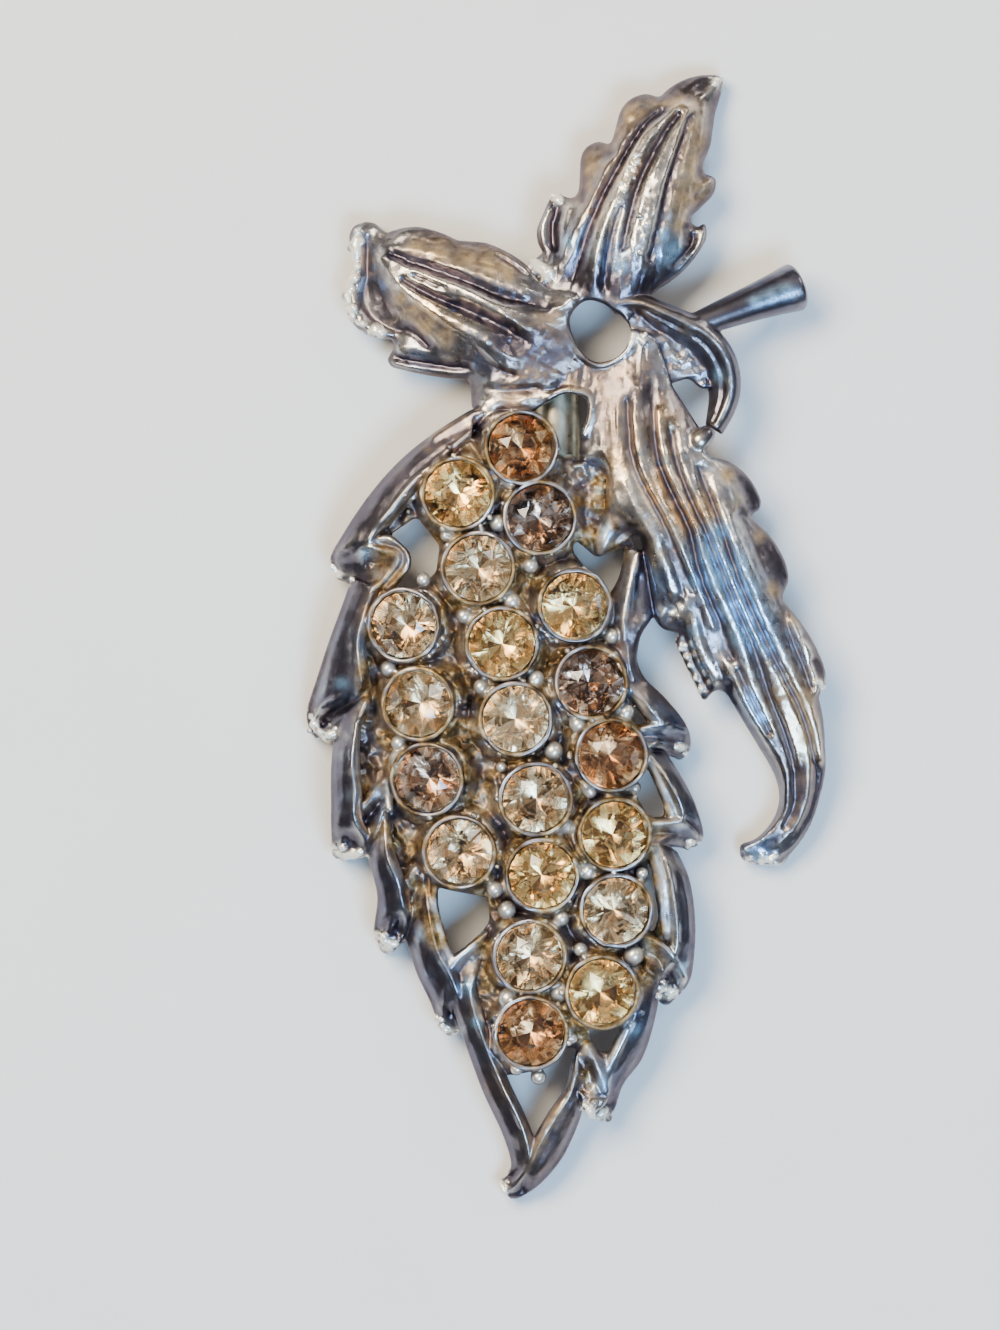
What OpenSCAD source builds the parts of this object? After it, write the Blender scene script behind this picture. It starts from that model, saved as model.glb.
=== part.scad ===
// Rhinestone brooch: a cast leaf spray with twenty foil backed chatons.
// It lies on its back: X to the right, Y up the face, Z out of the face.
// The origin is on the surface it lies on, below the middle of its box.

/* [Stones] */
// Diameter of a stone across its girdle
stone_d = 3.7; // [3.6:0.05:3.7]
// Table width as a share of the stone's diameter
table_share = 0.5; // [0.4:0.02:0.6]
// Height of the crown above the girdle
crown_h = 0.7; // [0.5:0.05:0.9]
// Height of the girdle band
girdle_h = 0.14; // [0.1:0.02:0.2]
// Depth of the pavilion below the girdle
pavilion_h = 1.45; // [1.2:0.05:1.5]
// Gap left between a stone and its cup
stone_gap = 0.06; // [0.04:0.01:0.08]

/* [Cups and beads] */
// Wall of a cup at its rim
cup_wall = 0.2; // [0.15:0.05:0.3]
// Height of a cup above the plate
cup_h = 1.25; // [1:0.05:1.5]
// Radius of a small cast bead
bead_r = 0.5; // [0.4:0.05:0.6]

/* [Plate] */
// Height of the plate's face at the crown of its dome
plate_z = 4.15; // [3.9:0.05:4.4]
// Thickness of the plate
plate_t = 0.95; // [0.8:0.05:1.1]
// Fall of the dome at its half width
dome_drop = 1.1; // [0.9:0.1:1.3]
// Half width of the dome
dome_half = 7.5; // [7:0.5:8.5]

/* [Leaves] */
// Thickness of a leaf
leaf_t = 1.0; // [0.8:0.05:1.2]
// Depth of the furrows between the ribs of a leaf
rib_depth = 0.42; // [0.2:0.02:0.6]
// Height of a leaf tip that touches the surface
tip_h = 0.8; // [0.6:0.05:1]

/* [Frame] */
// Slope of a frame tooth from its ridge to its outer edge
tooth_slope = 0.85; // [0.6:0.05:1]
// Thickness of a tooth at its outer edge
edge_t = 0.8; // [0.6:0.05:1]
// Width of the step inside a tooth's ridge
ridge_w = 0.4; // [0.3:0.05:0.5]

/* [Tendril and stem] */
// Radius of the tendril
tendril_r = 0.68; // [0.5:0.02:0.8]
// Radius of the stem where it leaves the tendril
stem_r = 0.68; // [0.6:0.02:0.8]
// Radius of the stem at its cut end
stem_end_r = 1.25; // [1.1:0.05:1.4]

/* [Pin back] */
// Width of the pin's base bar
bar_w = 1.6; // [1.4:0.1:1.6]
// Thickness of the base bar
bar_t = 0.5; // [0.4:0.05:0.55]
// Diameter of the catch barrel
barrel_d = 2.5; // [2:0.1:2.5]
// Radius of the pin stem
pin_r = 0.4; // [0.3:0.05:0.45]

/* [Hidden] */

cast_tint = [0.60, 0.57, 0.53];
glass_tint = [0.80, 0.62, 0.36];
steel_tint = [0.70, 0.66, 0.58];

facets = 8;
cup_sides = 16;
bead_sides = 10;
grid_step = 3.2;
// Small shift that keeps the edges of different pieces from coinciding
nudge = 0.017;

// Fall of the plate per millimetre towards the top and the foot of the spray
end_fall = 0.03;
// Line of cup rims, seats and culets
cup_r = stone_d / 2 + stone_gap + cup_wall;
cup_draft = 0.15;
cup_sink = plate_t * 0.7;
girdle_below_rim = 0.28;
culet_r = 0.08;
bead_sink = 0.3;
// Half width at which a leaf's furrows start to fade
fade_w = 1.6;
// Section of a tooth: drop to the step inside its ridge, bulge of its face, depth below its ridge
step_drop = 0.3;
face_bulge = 0.22;
tooth_depth = 1.5;
// Section of a strut: half width of its top, height
strut_top = 0.16;
strut_h = 1.2;
web_z = 2.7;
// Inner flank of the tendril: reach, fall, radius
flank_in = 0.75;
flank_fall = 0.9;
flank_r = 0.45;
// Rounding at the stem's cut end
stem_round = 0.36;

// Every stone: x, y of its centre
STONES = [
  [-2.6, 10.5], [-6.0, 7.95], [-1.6, 6.6], [-4.9, 3.8], [0.3, 1.7],
  [-8.9, 0.65], [-3.6, -0.4], [1.2, -2.6], [-8.1, -3.75], [-2.85, -4.6],
  [2.3, -6.65], [-7.6, -7.95], [-1.75, -9.05], [-5.85, -12.0], [2.5, -11.05],
  [-1.4, -13.3], [2.6, -15.3], [-2.05, -17.85], [1.85, -19.85], [-1.95, -22.1]];

// Every cast bead between the cups: x, y
BEADS = [
  [-3.9, 6.3], [-6.8, 5.6], [-5.6, 1.1], [-4.7, -2.8], [-2.0, 3.9],
  [-3.1, 2.0], [3.3, -4.2], [-0.8, -6.4], [-3.7, -7.3], [-1.7, -2.3],
  [2.5, 0.0], [-8.0, 3.2], [-9.9, -1.8], [-9.4, -5.9], [-9.5, -6.8],
  [3.8, -8.5], [1.3, -8.7], [0.6, -4.9], [-4.0, -14.1], [4.2, -13.2],
  [-0.3, -15.8], [1.1, -13.2], [0.8, -17.5], [-3.3, -15.3], [-3.3, -20.2],
  [-0.4, -19.9], [0.3, -22.4], [-1.5, -24.6], [-2.8, -24.2], [3.7, -17.8],
  [-0.1, -10.7], [-3.1, 8.6]];

// Outlines run anticlockwise. Each row: x, y, how far the way to the next row swells outwards
TOP_LEAF = [
  [5.1, 19.4, 0.3], [7.8, 22.2, 0.1], [7.75, 23.2, 0], [7.3, 22.9, 0], [6.85, 23.4, 0],
  [8.1, 24.6, 0.1], [8.4, 25.6, 0.1], [7.8, 25.9, 0], [7.6, 26.4, 0], [8.1, 27.5, 0],
  [8.35, 29.3, 0], [8.9, 31.2, 0.1], [8.3, 31.6, 0.4], [5.2, 30.25, 0], [4.6, 30.5, 0.45],
  [2.85, 28.9, 0], [2.5, 27.55, 0], [1.9, 27.8, 0.3], [0.78, 26.7, 0], [0.7, 24.9, 0],
  [0.3, 24.5, 0], [-0.5, 24.9, 0.15], [-1.1, 24.2, 0], [-1.65, 22.9, 0.15], [-1.3, 21.5, 0.1],
  [-2.0, 20.8, 0], [-1.1, 19.6, 0], [-0.3, 17.8, 0], [3.2, 17.4, 0]];
LEFT_LEAF = [
  [0.9, 15.0, 0], [1.2, 19.2, 0], [-1.2, 19.7, 0], [-2.1, 20.7, 0.15], [-4.6, 22.1, 0],
  [-6.1, 22.2, 0.1], [-8.3, 23.0, 0.1], [-10.1, 22.65, 0], [-10.7, 23.2, 0.15], [-11.9, 23.1, 0.1],
  [-12.2, 22.3, 0], [-11.8, 20.6, 0], [-12.2, 19.6, 0], [-12.4, 18.5, 0.2], [-11.3, 17.0, 0.1],
  [-9.8, 16.7, 0], [-9.6, 16.3, 0], [-10.05, 15.6, 0.15], [-9.5, 15.05, 0.1], [-5.4, 14.35, 0],
  [-5.3, 12.6, 0], [-2.5, 12.4, 0], [-0.8, 13.7, 0]];
LONG_LEAF = [
  [-0.6, 13.6, 0], [1.45, 13.4, 0], [1.2, 11.8, 0], [0.6, 10.2, 0], [1.2, 9.6, 0],
  [2.2, 9.5, 0], [2.2, 7.2, 0], [1.4, 5.7, 0], [1.7, 4.4, 0], [2.7, 4.9, 0],
  [4.0, 5.9, 0], [4.4, 4.4, 0], [4.9, 0.95, 0], [5.4, 0.35, 0], [6.4, 0.2, 0],
  [6.0, -0.2, 0], [6.9, -2.1, 0], [7.7, -3.75, 0], [8.3, -2.95, 0], [8.9, -3.1, 0],
  [11.4, -7.2, -0.95], [10.56, -11.46, 0], [9.7, -11.65, 0], [9.8, -12.5, 0.2], [12.0, -12.8, 0.4],
  [14.25, -8.9, 0.15], [14.5, -6.2, 0.1], [14.1, -3.3, 0], [14.6, -2.7, 0], [14.45, -1.7, 0.25],
  [12.0, 2.1, 0], [12.5, 3.2, 0], [12.3, 4.1, 0.25], [10.2, 6.7, 0], [10.8, 7.1, 0.1],
  [10.8, 7.9, 0.3], [8.8, 9.9, 0], [7.8, 10.1, 0], [7.6, 11.4, 0], [5.9, 14.0, 0],
  [5.0, 16.8, 0], [3.6, 17.2, 0], [3.0, 15.2, 0], [0.5, 15.4, 0]];
PLATE = [
  [-1.2, 11.2, 0], [-2.6, 12.6, 0], [-5.2, 12.6, 0], [-8.5, 8.8, 0.3], [-11.0, 5.2, 0],
  [-11.8, 1.0, 0.2], [-12.1, -8.0, 0], [-11.4, -11.2, 0], [-9.8, -12.8, 0], [-9.0, -16.0, 0],
  [-7.4, -18.0, 0], [-5.6, -19.6, 0], [-5.0, -21.8, 0], [-3.9, -24.4, 0], [-3.0, -24.6, 0],
  [-1.0, -24.1, 0], [0.1, -22.9, 0], [0.7, -23.2, 0], [0.1, -24.5, 0], [1.2, -26.9, 0],
  [2.3, -26.2, 0], [2.6, -23.6, 0],
  [3.9, -21.2, 0], [5.7, -18.8, 0], [6.1, -15.5, 0], [5.4, -12.6, 0], [6.5, -10.4, 0],
  [5.4, -7.6, 0], [4.6, -6.2, 0], [5.5, -5.1, 0], [3.4, -2.6, 0], [3.3, 0.4, 0],
  [4.6, 1.2, 0], [4.6, 3.0, 0], [3.6, 5.6, 0], [2.6, 9.4, 0], [0.9, 9.8, 0]];

// Pierced openings, same columns
HOLES = [
  [[1.0, 18.8, 0.3], [0.1, 17.1, 0.35], [1.9, 15.3, 0.35], [3.6, 16.6, 0.35], [2.6, 18.2, 0.2]],
  [[-0.7, 13.65, 0], [-2.3, 12.2, 0], [-1.3, 10.9, 0], [-0.3, 10.0, 0.1], [0.4, 10.1, 0.1],
   [1.2, 12.0, 0.05], [1.3, 13.4, 0.1]],
  [[-8.4, 6.7, 0], [-9.9, 5.7, 0], [-8.7, 4.6, 0], [-8.7, 3.8, 0], [-9.7, 2.7, 0],
   [-8.4, 2.7, 0], [-7.3, 3.6, 0], [-7.1, 5.1, 0]],
  [[-7.3, -14.0, 0], [-7.2, -15.8, 0], [-6.4, -17.9, 0], [-4.9, -16.8, 0], [-4.3, -15.9, 0],
   [-4.4, -14.6, 0], [-6.1, -14.3, 0]],
  [[0.5, 5.4, 0], [0.3, 4.8, 0], [1.8, 3.0, 0], [2.5, 2.1, 0], [3.35, 3.8, 0],
   [3.2, 5.0, 0], [1.7, 4.4, 0]],
  [[3.0, -2.9, 0], [3.8, -4.3, 0], [3.7, -4.9, 0], [4.6, -4.9, 0]],
  [[4.2, -6.9, 0], [3.8, -8.0, 0], [3.9, -8.9, 0], [4.6, -10.1, 0], [5.5, -10.1, 0],
   [5.4, -9.0, 0], [4.8, -7.5, 0]],
  [[4.5, -12.5, 0], [4.6, -13.5, 0], [4.2, -14.1, 0], [4.7, -15.2, 0], [4.4, -16.3, 0],
   [4.9, -16.6, 0], [5.3, -15.3, 0], [5.0, -13.6, 0]],
  [[1.2, -21.8, 0], [1.3, -22.6, 0], [2.0, -23.3, 0], [2.7, -23.1, 0], [3.2, -21.9, 0]]];

// Web between the long leaf and the tendril, same columns
WEB = [
  [4.0, 17.9, 0], [5.4, 14.0, 0], [6.9, 14.5, 0], [7.5, 13.8, 0], [8.6, 14.0, 0], [7.0, 17.0, 0]];

// Spines of the leaves. Each row: x, y, height of the crest, half width of the ribbed part,
// reach of the smooth flank beyond it
TOP_SPINE = [
  [1.6, 17.2, 4.5, 2.6, 2.5], [2.1, 20.3, 4.7, 2.5, 3.0], [2.9, 22.8, 4.7, 2.2, 3.2],
  [3.7, 25.2, 4.3, 1.9, 3.2], [4.7, 27.5, 3.7, 1.4, 3.4], [6.0, 29.4, 2.9, 0.8, 3.2],
  [7.3, 30.8, 1.9, 0.5, 3.2], [8.9, 32.2, 0.9, 0.4, 3.2]];
LEFT_SPINE = [
  [1.8, 15.0, 4.4, 2.6, 4.0], [-2.0, 16.8, 4.7, 2.4, 4.4], [-5.0, 18.3, 4.5, 1.9, 4.6],
  [-8.0, 19.9, 3.7, 1.1, 4.8], [-10.3, 21.0, 2.5, 0.5, 5.0], [-11.6, 21.5, 1.4, 0.4, 5.2],
  [-13.2, 22.1, 0.9, 0.4, 5.2]];
LONG_SPINE = [
  [3.6, 18.0, 4.3, 1.7, 3.4], [4.2, 14.5, 4.6, 2.0, 3.4], [5.1, 11.5, 4.9, 2.2, 3.2],
  [6.3, 8.0, 5.1, 2.5, 3.2], [8.0, 4.0, 5.1, 2.5, 3.2], [9.8, 0.0, 4.7, 2.3, 3.0],
  [11.7, -3.6, 4.0, 1.7, 2.6], [13.0, -6.6, 3.0, 1.2, 1.4], [13.2, -9.3, 2.1, 1.0, 0.9],
  [12.2, -11.4, 1.5, 0.9, 0.8], [10.8, -12.3, 1.2, 0.7, 0.8], [9.0, -12.2, 1.1, 0.6, 0.8]];

// Ribs across a leaf. Each row: share of the ribbed half width, share of the flank,
// rise against the crest, counted in furrow depths
SHORT_RIBS = [
  [-1, -1, -4.6], [-1, -0.45, -1.5], [-1, 0, 0.1], [-0.74, 0, -1], [-0.42, 0, 0.3], [-0.08, 0, -0.7],
  [0.3, 0, 0.3], [0.68, 0, -1], [1, 0, -0.1], [1, 0.45, -1.2], [1, 1, -4.6]];
LONG_RIBS = [
  [-1, -1, -4.6], [-1, -0.4, -1.6], [-1, 0, 0], [-0.8, 0, -0.9], [-0.55, 0, 0.1], [-0.35, 0, -0.6],
  [-0.1, 0, 0.3], [0.14, 0, -0.9], [0.42, 0, 0.2], [0.68, 0, -1], [1, 0, 0.1], [1, 0.45, -1],
  [1, 1, -4.2]];

// Frame teeth. Each row: x, y of the outer edge, x, y and height of the ridge
LEFT_TEETH = [
  [[-5.2, 12.6, -5.1, 11.6, 4.3], [-7.4, 11.4, -7.0, 10.0, 4.4], [-9.3, 9.9, -8.6, 8.5, 4.5],
   [-11.0, 8.0, -9.9, 6.9, 4.4], [-12.5, 5.8, -10.8, 5.8, 4.1], [-13.3, 4.2, -11.1, 5.0, 3.9],
   [-12.6, 3.1, -11.3, 3.5, 2.2]],
  [[-12.0, 3.4, -10.7, 3.0, 3.5], [-12.6, 1.7, -11.2, 1.4, 4.1], [-13.3, -0.2, -11.6, -0.2, 4.2],
   [-14.0, -2.3, -11.5, -1.6, 4.2], [-14.6, -4.2, -11.4, -2.8, 3.9], [-14.4, -5.4, -12.2, -4.6, 2.4],
   [-13.8, -6.0, -12.7, -5.6, 1.4]],
  [[-13.0, -4.9, -11.5, -3.6, 3.5], [-13.2, -7.4, -11.9, -6.4, 4.1], [-13.2, -9.3, -11.8, -8.8, 4.1],
   [-13.2, -10.8, -11.8, -10.2, 3.9], [-13.1, -12.1, -11.2, -11.6, 3.0], [-12.6, -12.6, -11.0, -12.4, 1.6]],
  [[-11.5, -11.2, -10.2, -9.4, 3.5], [-11.0, -12.9, -10.0, -12.0, 4.0], [-10.6, -14.6, -9.4, -13.7, 4.0],
   [-10.8, -16.7, -9.0, -15.6, 3.5], [-10.1, -17.8, -9.0, -17.1, 1.7]],
  [[-9.6, -15.4, -7.9, -13.4, 3.4], [-8.9, -17.3, -7.6, -15.7, 3.9], [-8.4, -18.9, -7.2, -17.5, 3.9],
   [-7.6, -20.6, -6.3, -19.2, 3.8], [-7.1, -22.0, -5.8, -20.8, 3.3], [-6.5, -22.6, -5.4, -22.0, 2.0]],
  [[-6.9, -19.6, -5.6, -19.2, 3.8], [-5.8, -22.5, -4.8, -22.0, 3.8], [-4.7, -25.5, -3.6, -25.0, 3.5],
   [-3.6, -27.9, -2.4, -27.6, 3.1], [-3.1, -29.7, -2.1, -29.3, 2.6], [-3.6, -30.5, -2.8, -30.6, 1.8],
   [-3.9, -31.0, -3.3, -31.3, 1.1]]];
RIGHT_TEETH = [
  [[4.4, 0.9, 3.0, 1.6, 3.7], [3.9, -0.8, 3.1, -0.9, 3.9], [4.3, -2.2, 3.3, -2.4, 4.0],
   [5.5, -3.4, 4.4, -3.8, 4.0], [6.7, -4.9, 5.4, -5.0, 3.8], [7.0, -6.2, 5.4, -5.6, 3.0],
   [6.6, -6.9, 5.5, -6.3, 1.9]],
  [[5.6, -6.5, 4.4, -6.3, 3.7], [6.6, -8.1, 5.5, -7.8, 4.0], [7.3, -9.6, 6.4, -9.5, 3.9],
   [7.7, -11.3, 6.4, -10.5, 3.5], [7.0, -12.0, 5.8, -11.5, 2.0]],
  [[6.2, -12.0, 4.95, -11.2, 3.7], [6.9, -13.6, 5.7, -13.1, 3.9], [7.2, -15.6, 6.1, -15.5, 3.9],
   [7.2, -17.4, 6.1, -17.4, 3.8], [6.9, -19.4, 5.5, -18.6, 3.2], [5.8, -20.7, 4.9, -19.8, 1.6]],
  [[5.4, -19.0, 4.3, -18.6, 3.5], [5.0, -21.3, 3.8, -21.1, 3.7], [4.3, -23.6, 2.9, -23.0, 3.5],
   [3.2, -25.1, 2.1, -24.5, 3.2], [2.7, -26.6, 1.7, -25.9, 2.6], [2.0, -27.4, 1.4, -26.8, 1.8]],
  [[1.7, -25.0, 0.6, -23.6, 3.6], [1.0, -26.4, 0.2, -25.5, 3.5], [0.5, -27.8, -0.7, -26.9, 3.3],
   [-0.3, -29.4, -1.5, -28.3, 3.0], [-1.5, -30.8, -2.1, -29.6, 2.5], [-2.7, -31.6, -2.8, -30.7, 1.7],
   [-3.4, -31.6, -3.6, -31.1, 1.1]]];

// Struts from the cups to the teeth. Each row: x, y and height of one end, then of the other,
// half width of the foot
STRUTS = [
  [-11.1, 4.9, 3.9, -8.9, 4.3, 3.7, 0.5], [-10.2, 6.3, 4.0, -9.1, 5.0, 3.7, 0.4],
  [-8.9, 4.0, 3.7, -10.6, 2.3, 3.8, 0.5], [-10.1, -8.1, 4.1, -12.2, -11.2, 3.5, 0.7],
  [-8.3, -12.6, 4.0, -9.7, -16.0, 3.4, 0.8], [-4.9, -17.0, 4.0, -6.4, -18.8, 3.9, 0.5],
  [3.9, -5.3, 3.9, 6.0, -5.5, 3.4, 0.5], [4.6, -6.8, 3.7, 5.7, -9.9, 3.5, 0.28],
  [4.4, -10.4, 3.9, 6.9, -10.8, 3.5, 0.5], [4.7, -11.9, 3.7, 5.4, -15.4, 3.5, 0.3],
  [4.2, -16.8, 3.9, 6.1, -18.2, 3.7, 0.5], [1.2, -22.9, 3.6, 2.0, -24.0, 3.4, 0.4],
  [2.6, 2.0, 3.8, 4.2, 1.0, 3.6, 0.5]];

// Route of the tendril's ridge: x, y, height
TENDRIL = [
  [2.8, 18.4, 4.3], [4.4, 18.3, 4.4], [5.8, 17.9, 4.4], [7.2, 17.2, 4.3], [8.4, 16.1, 4.1],
  [9.1, 14.8, 3.9], [9.2, 13.6, 3.7], [8.8, 12.4, 3.7], [8.2, 11.5, 3.9], [7.6, 10.9, 4.2]];
STEM_FROM = [6.6, 17.2, 3.9];
STEM_TO = [12.75, 19.6, 1.9];

// Pin back: x of its middle, then y of its ends and parts from the top down
pin_x = -0.5;
barrel_top_y = 13.6;
bar_top_y = 10.2;
barrel_low_y = 8.4;
hinge_y = -14.6;
bar_low_y = -15.6;
bar_top_z = 2.85;
pad_ys = [7.0, -13.4];
pad_r = 0.8;
pad_gap = 0.05;
hinge_r = 0.85;
pin_drop = 0.9;

// Height of the plate's face at a point
function dome_z(p) =
  let (middle = -2.4 - 0.11 * (p.y + 8), off = (p.x - middle) / dome_half)
  plate_z - dome_drop * min(off * off, 1.6) - end_fall * max(0, abs(p.y) - 8);
// Slope of the dome at a point, as falls per millimetre along x and y
function dome_fall(p) =
  let (h = 0.5)
  [(dome_z([p.x - h, p.y]) - dome_z([p.x + h, p.y])) / (2 * h),
   (dome_z([p.x, p.y - h]) - dome_z([p.x, p.y + h])) / (2 * h)];

// Outline points from rows of x, y and swell
function outline(rows, steps = 4) = [
  for (i = [0 : len(rows) - 1])
    let (a = rows[i], b = rows[(i + 1) % len(rows)], run = [b.x - a.x, b.y - a.y],
         out = [run.y, -run.x] / norm(run), n = a[2] == 0 ? 1 : steps)
      for (k = [0 : n - 1])
        let (t = k / n) [a.x, a.y] + run * t + out * 4 * a[2] * t * (1 - t)];

// Solid through rings of equal point count, each ring turning right-handed about the way it is swept
module loft(rings) {
  count = len(rings);
  sides = len(rings[0]);
  polyhedron(
    points = [for (ring = rings) each ring],
    faces = concat(
      [for (i = [0 : count - 2], j = [0 : sides - 1])
        let (a = i * sides + j, b = i * sides + (j + 1) % sides)
          each [[a + sides, b + sides, b], [a + sides, b, a]]],
      [for (j = [1 : sides - 2]) [0, j, j + 1]],
      [for (j = [1 : sides - 2]) [0, j + 1, j] + (count - 1) * sides * [1, 1, 1]]));
}

// Flat direction along a spine at row i
function along(rows, i) =
  let (a = rows[max(i - 1, 0)], b = rows[min(i + 1, len(rows) - 1)], run = [b.x - a.x, b.y - a.y])
  run / norm(run);

// Ribbed sheet round a leaf's spine
module leaf_sheet(spine, ribs) {
  loft([for (i = [0 : len(spine) - 1])
    let (s = spine[i], d = along(spine, i), right = [d.y, -d.x], fade = min(1, s[3] / fade_w),
         face = [for (c = ribs)
           let (off = c[0] * s[3] + c[1] * s[4], sunk = c[1] == 0 ? fade : 1)
             [s.x + right.x * off, s.y + right.y * off, max(tip_h, s.z + c[2] * rib_depth * sunk)]],
         back = [for (k = [len(face) - 1 : -1 : 0])
           [face[k].x, face[k].y, max(0, face[k].z - leaf_t)]])
      concat(face, back)]);
}

module leaf(rows, spine, ribs) {
  intersection() {
    linear_extrude(height = 9) polygon(outline(rows));
    leaf_sheet(spine, ribs);
  }
}

// One tooth of the frame, with its outer edge to the right of its run, or to the left
module tooth(rows, outer_right) {
  loft([for (r = rows)
    let (outer = [r[0], r[1]], ridge = [r[2], r[3]], ridge_z = r[4],
         run = outer - ridge, mid = (outer + ridge) / 2,
         inner = ridge - run / norm(run) * ridge_w,
         edge_z = max(edge_t, ridge_z - tooth_slope * norm(run)),
         mid_z = (edge_z + ridge_z) / 2 + face_bulge,
         foot_z = max(0, min(edge_z, ridge_z) - edge_t),
         under_z = max(0, ridge_z - tooth_depth),
         ring = [[inner.x, inner.y, ridge_z - step_drop], [ridge.x, ridge.y, ridge_z],
                 [mid.x, mid.y, mid_z], [outer.x, outer.y, edge_z], [outer.x, outer.y, foot_z],
                 [ridge.x, ridge.y, under_z], [inner.x, inner.y, under_z]])
      outer_right ? ring : [for (k = [len(ring) - 1 : -1 : 0]) ring[k]]]);
}

// Sheet that follows the dome, on a square grid
module dome_sheet() {
  xs = [-13 + 3 * nudge : grid_step : 7.9];
  ys = [-28 - 3 * nudge : grid_step : 13.7];
  rings = [for (y = ys)
    let (face = [for (x = xs) [x, y, dome_z([x, y])]],
         back = [for (k = [len(face) - 1 : -1 : 0]) face[k] - [0, 0, plate_t]])
      concat(face, back)];
  loft(rings);
}

module plate() {
  intersection() {
    translate([-nudge, nudge, 0]) linear_extrude(height = 9) polygon(outline(PLATE));
    dome_sheet();
  }
}

// Places its children on the dome at a point, square to the face
module on_dome(p) {
  fall = dome_fall(p);
  translate([p.x, p.y, dome_z(p)]) rotate([-atan(fall.y), atan(fall.x), 0]) children();
}

module cup_body() {
  translate([0, 0, -cup_sink])
    cylinder(h = cup_h + cup_sink, r1 = cup_r - cup_draft, r2 = cup_r, $fn = cup_sides);
}

// Hollow of a cup: a straight bore down to the girdle, a cone below it
module cup_bore() {
  seat_z = cup_h - girdle_below_rim - girdle_h;
  bore_r = stone_d / 2 + stone_gap;
  foot_z = seat_z - pavilion_h - stone_gap;
  rotate_extrude($fn = cup_sides)
    polygon([[0, foot_z], [culet_r + stone_gap, foot_z], [bore_r, seat_z],
             [bore_r, cup_h + 1], [0, cup_h + 1]]);
}

// Cast bead: a round post that narrows to its top
module bead(p) {
  on_dome(p) translate([0, 0, -bead_sink])
    cylinder(h = bead_sink + bead_r * 1.3, r1 = bead_r * 1.1, r2 = bead_r * 0.6, $fn = bead_sides);
}

// Tent shaped strut between two ridge points
module strut(r) {
  turn = atan2(r[4] - r[1], r[3] - r[0]);
  hull() {
    for (e = [0, 3])
      translate([r[e] + nudge, r[e + 1] - nudge, r[e + 2] - strut_h])
        rotate([0, 0, turn]) cylinder(h = strut_h, r1 = r[6], r2 = strut_top, $fn = 4);
  }
}

// Ribbon with a round ridge and a lower inner flank
module tendril() {
  for (i = [0 : len(TENDRIL) - 2])
    hull() {
      for (k = [i, i + 1]) {
        d = along(TENDRIL, k);
        translate(TENDRIL[k]) sphere(r = tendril_r, $fn = 8);
        translate(TENDRIL[k] + [d.y * flank_in, -d.x * flank_in, -flank_fall]) sphere(r = flank_r, $fn = 6);
      }
    }
}

module web() {
  translate([0, 0, web_z]) linear_extrude(height = edge_t) polygon(outline(WEB));
}

module stem() {
  run = STEM_TO - STEM_FROM;
  flat = norm([run.x, run.y]);
  translate(STEM_FROM) rotate([0, atan2(flat, run.z), atan2(run.y, run.x)])
    rotate_extrude($fn = 16)
      polygon([[0, 0], [stem_r, 0], [stem_end_r, norm(run) - stem_round],
               [stem_end_r * 0.75, norm(run)], [0, norm(run)]]);
}

// Cast pads that the pin back is soldered to
module pads() {
  for (y = pad_ys)
    translate([pin_x, y, bar_top_z + pad_gap]) cylinder(h = 1, r = pad_r, $fn = 16);
}

module casting() {
  color(cast_tint)
    difference() {
      union() {
        difference() {
          union() {
            leaf(TOP_LEAF, TOP_SPINE, SHORT_RIBS);
            leaf(LEFT_LEAF, LEFT_SPINE, SHORT_RIBS);
            leaf(LONG_LEAF, LONG_SPINE, LONG_RIBS);
            plate();
          }
          for (rows = HOLES)
            translate([nudge, 2 * nudge, -1]) linear_extrude(height = 10) polygon(outline(rows));
        }
        for (rows = LEFT_TEETH) tooth(rows, true);
        for (rows = RIGHT_TEETH) tooth(rows, false);
        for (row = STRUTS) strut(row);
        for (p = STONES) on_dome(p) cup_body();
        for (p = BEADS) bead(p);
        tendril();
        web();
        stem();
        pads();
      }
      for (p = STONES) on_dome(p) cup_bore();
    }
}

// Chaton: octagonal table, crown facets down to a girdle of sixteen sides, pointed pavilion
module chaton() {
  r = stone_d / 2;
  hull() {
    translate([0, 0, crown_h - 0.01]) cylinder(h = 0.01, r = r * table_share, $fn = facets);
    translate([0, 0, -girdle_h]) cylinder(h = girdle_h, r = r, $fn = 2 * facets);
    translate([0, 0, -girdle_h - pavilion_h]) cylinder(h = 0.02, r = culet_r, $fn = facets);
  }
}

module stone(p) {
  color(glass_tint) on_dome(p) translate([0, 0, cup_h - girdle_below_rim]) chaton();
}

// Plain pin back: base bar, catch barrel above, hinge below, pin stem between them
module pin_back() {
  bar_z = bar_top_z - bar_t;
  pin_z = bar_z - pin_drop;
  color(steel_tint) {
    translate([pin_x - bar_w / 2, bar_low_y, bar_z]) cube([bar_w, bar_top_y - bar_low_y, bar_t]);
    translate([pin_x, barrel_low_y, bar_top_z - barrel_d / 2]) rotate([-90, 0, 0])
      cylinder(h = barrel_top_y - barrel_low_y, r = barrel_d / 2, $fn = 48);
    translate([pin_x - bar_w / 2, hinge_y, pin_z]) rotate([0, 90, 0])
      cylinder(h = bar_w, r = hinge_r, $fn = 48);
    translate([pin_x, hinge_y, pin_z]) rotate([-90, 0, 0])
      cylinder(h = barrel_low_y - hinge_y + 0.5, r = pin_r, $fn = 32);
  }
}

for (i = [1 : 20])
  stone(STONES[i - 1]);
casting();
pin_back();
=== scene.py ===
"""Looks of the rhinestone brooch. Lengths are millimetres in the part's frame unless a comment says so."""
import math

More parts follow.
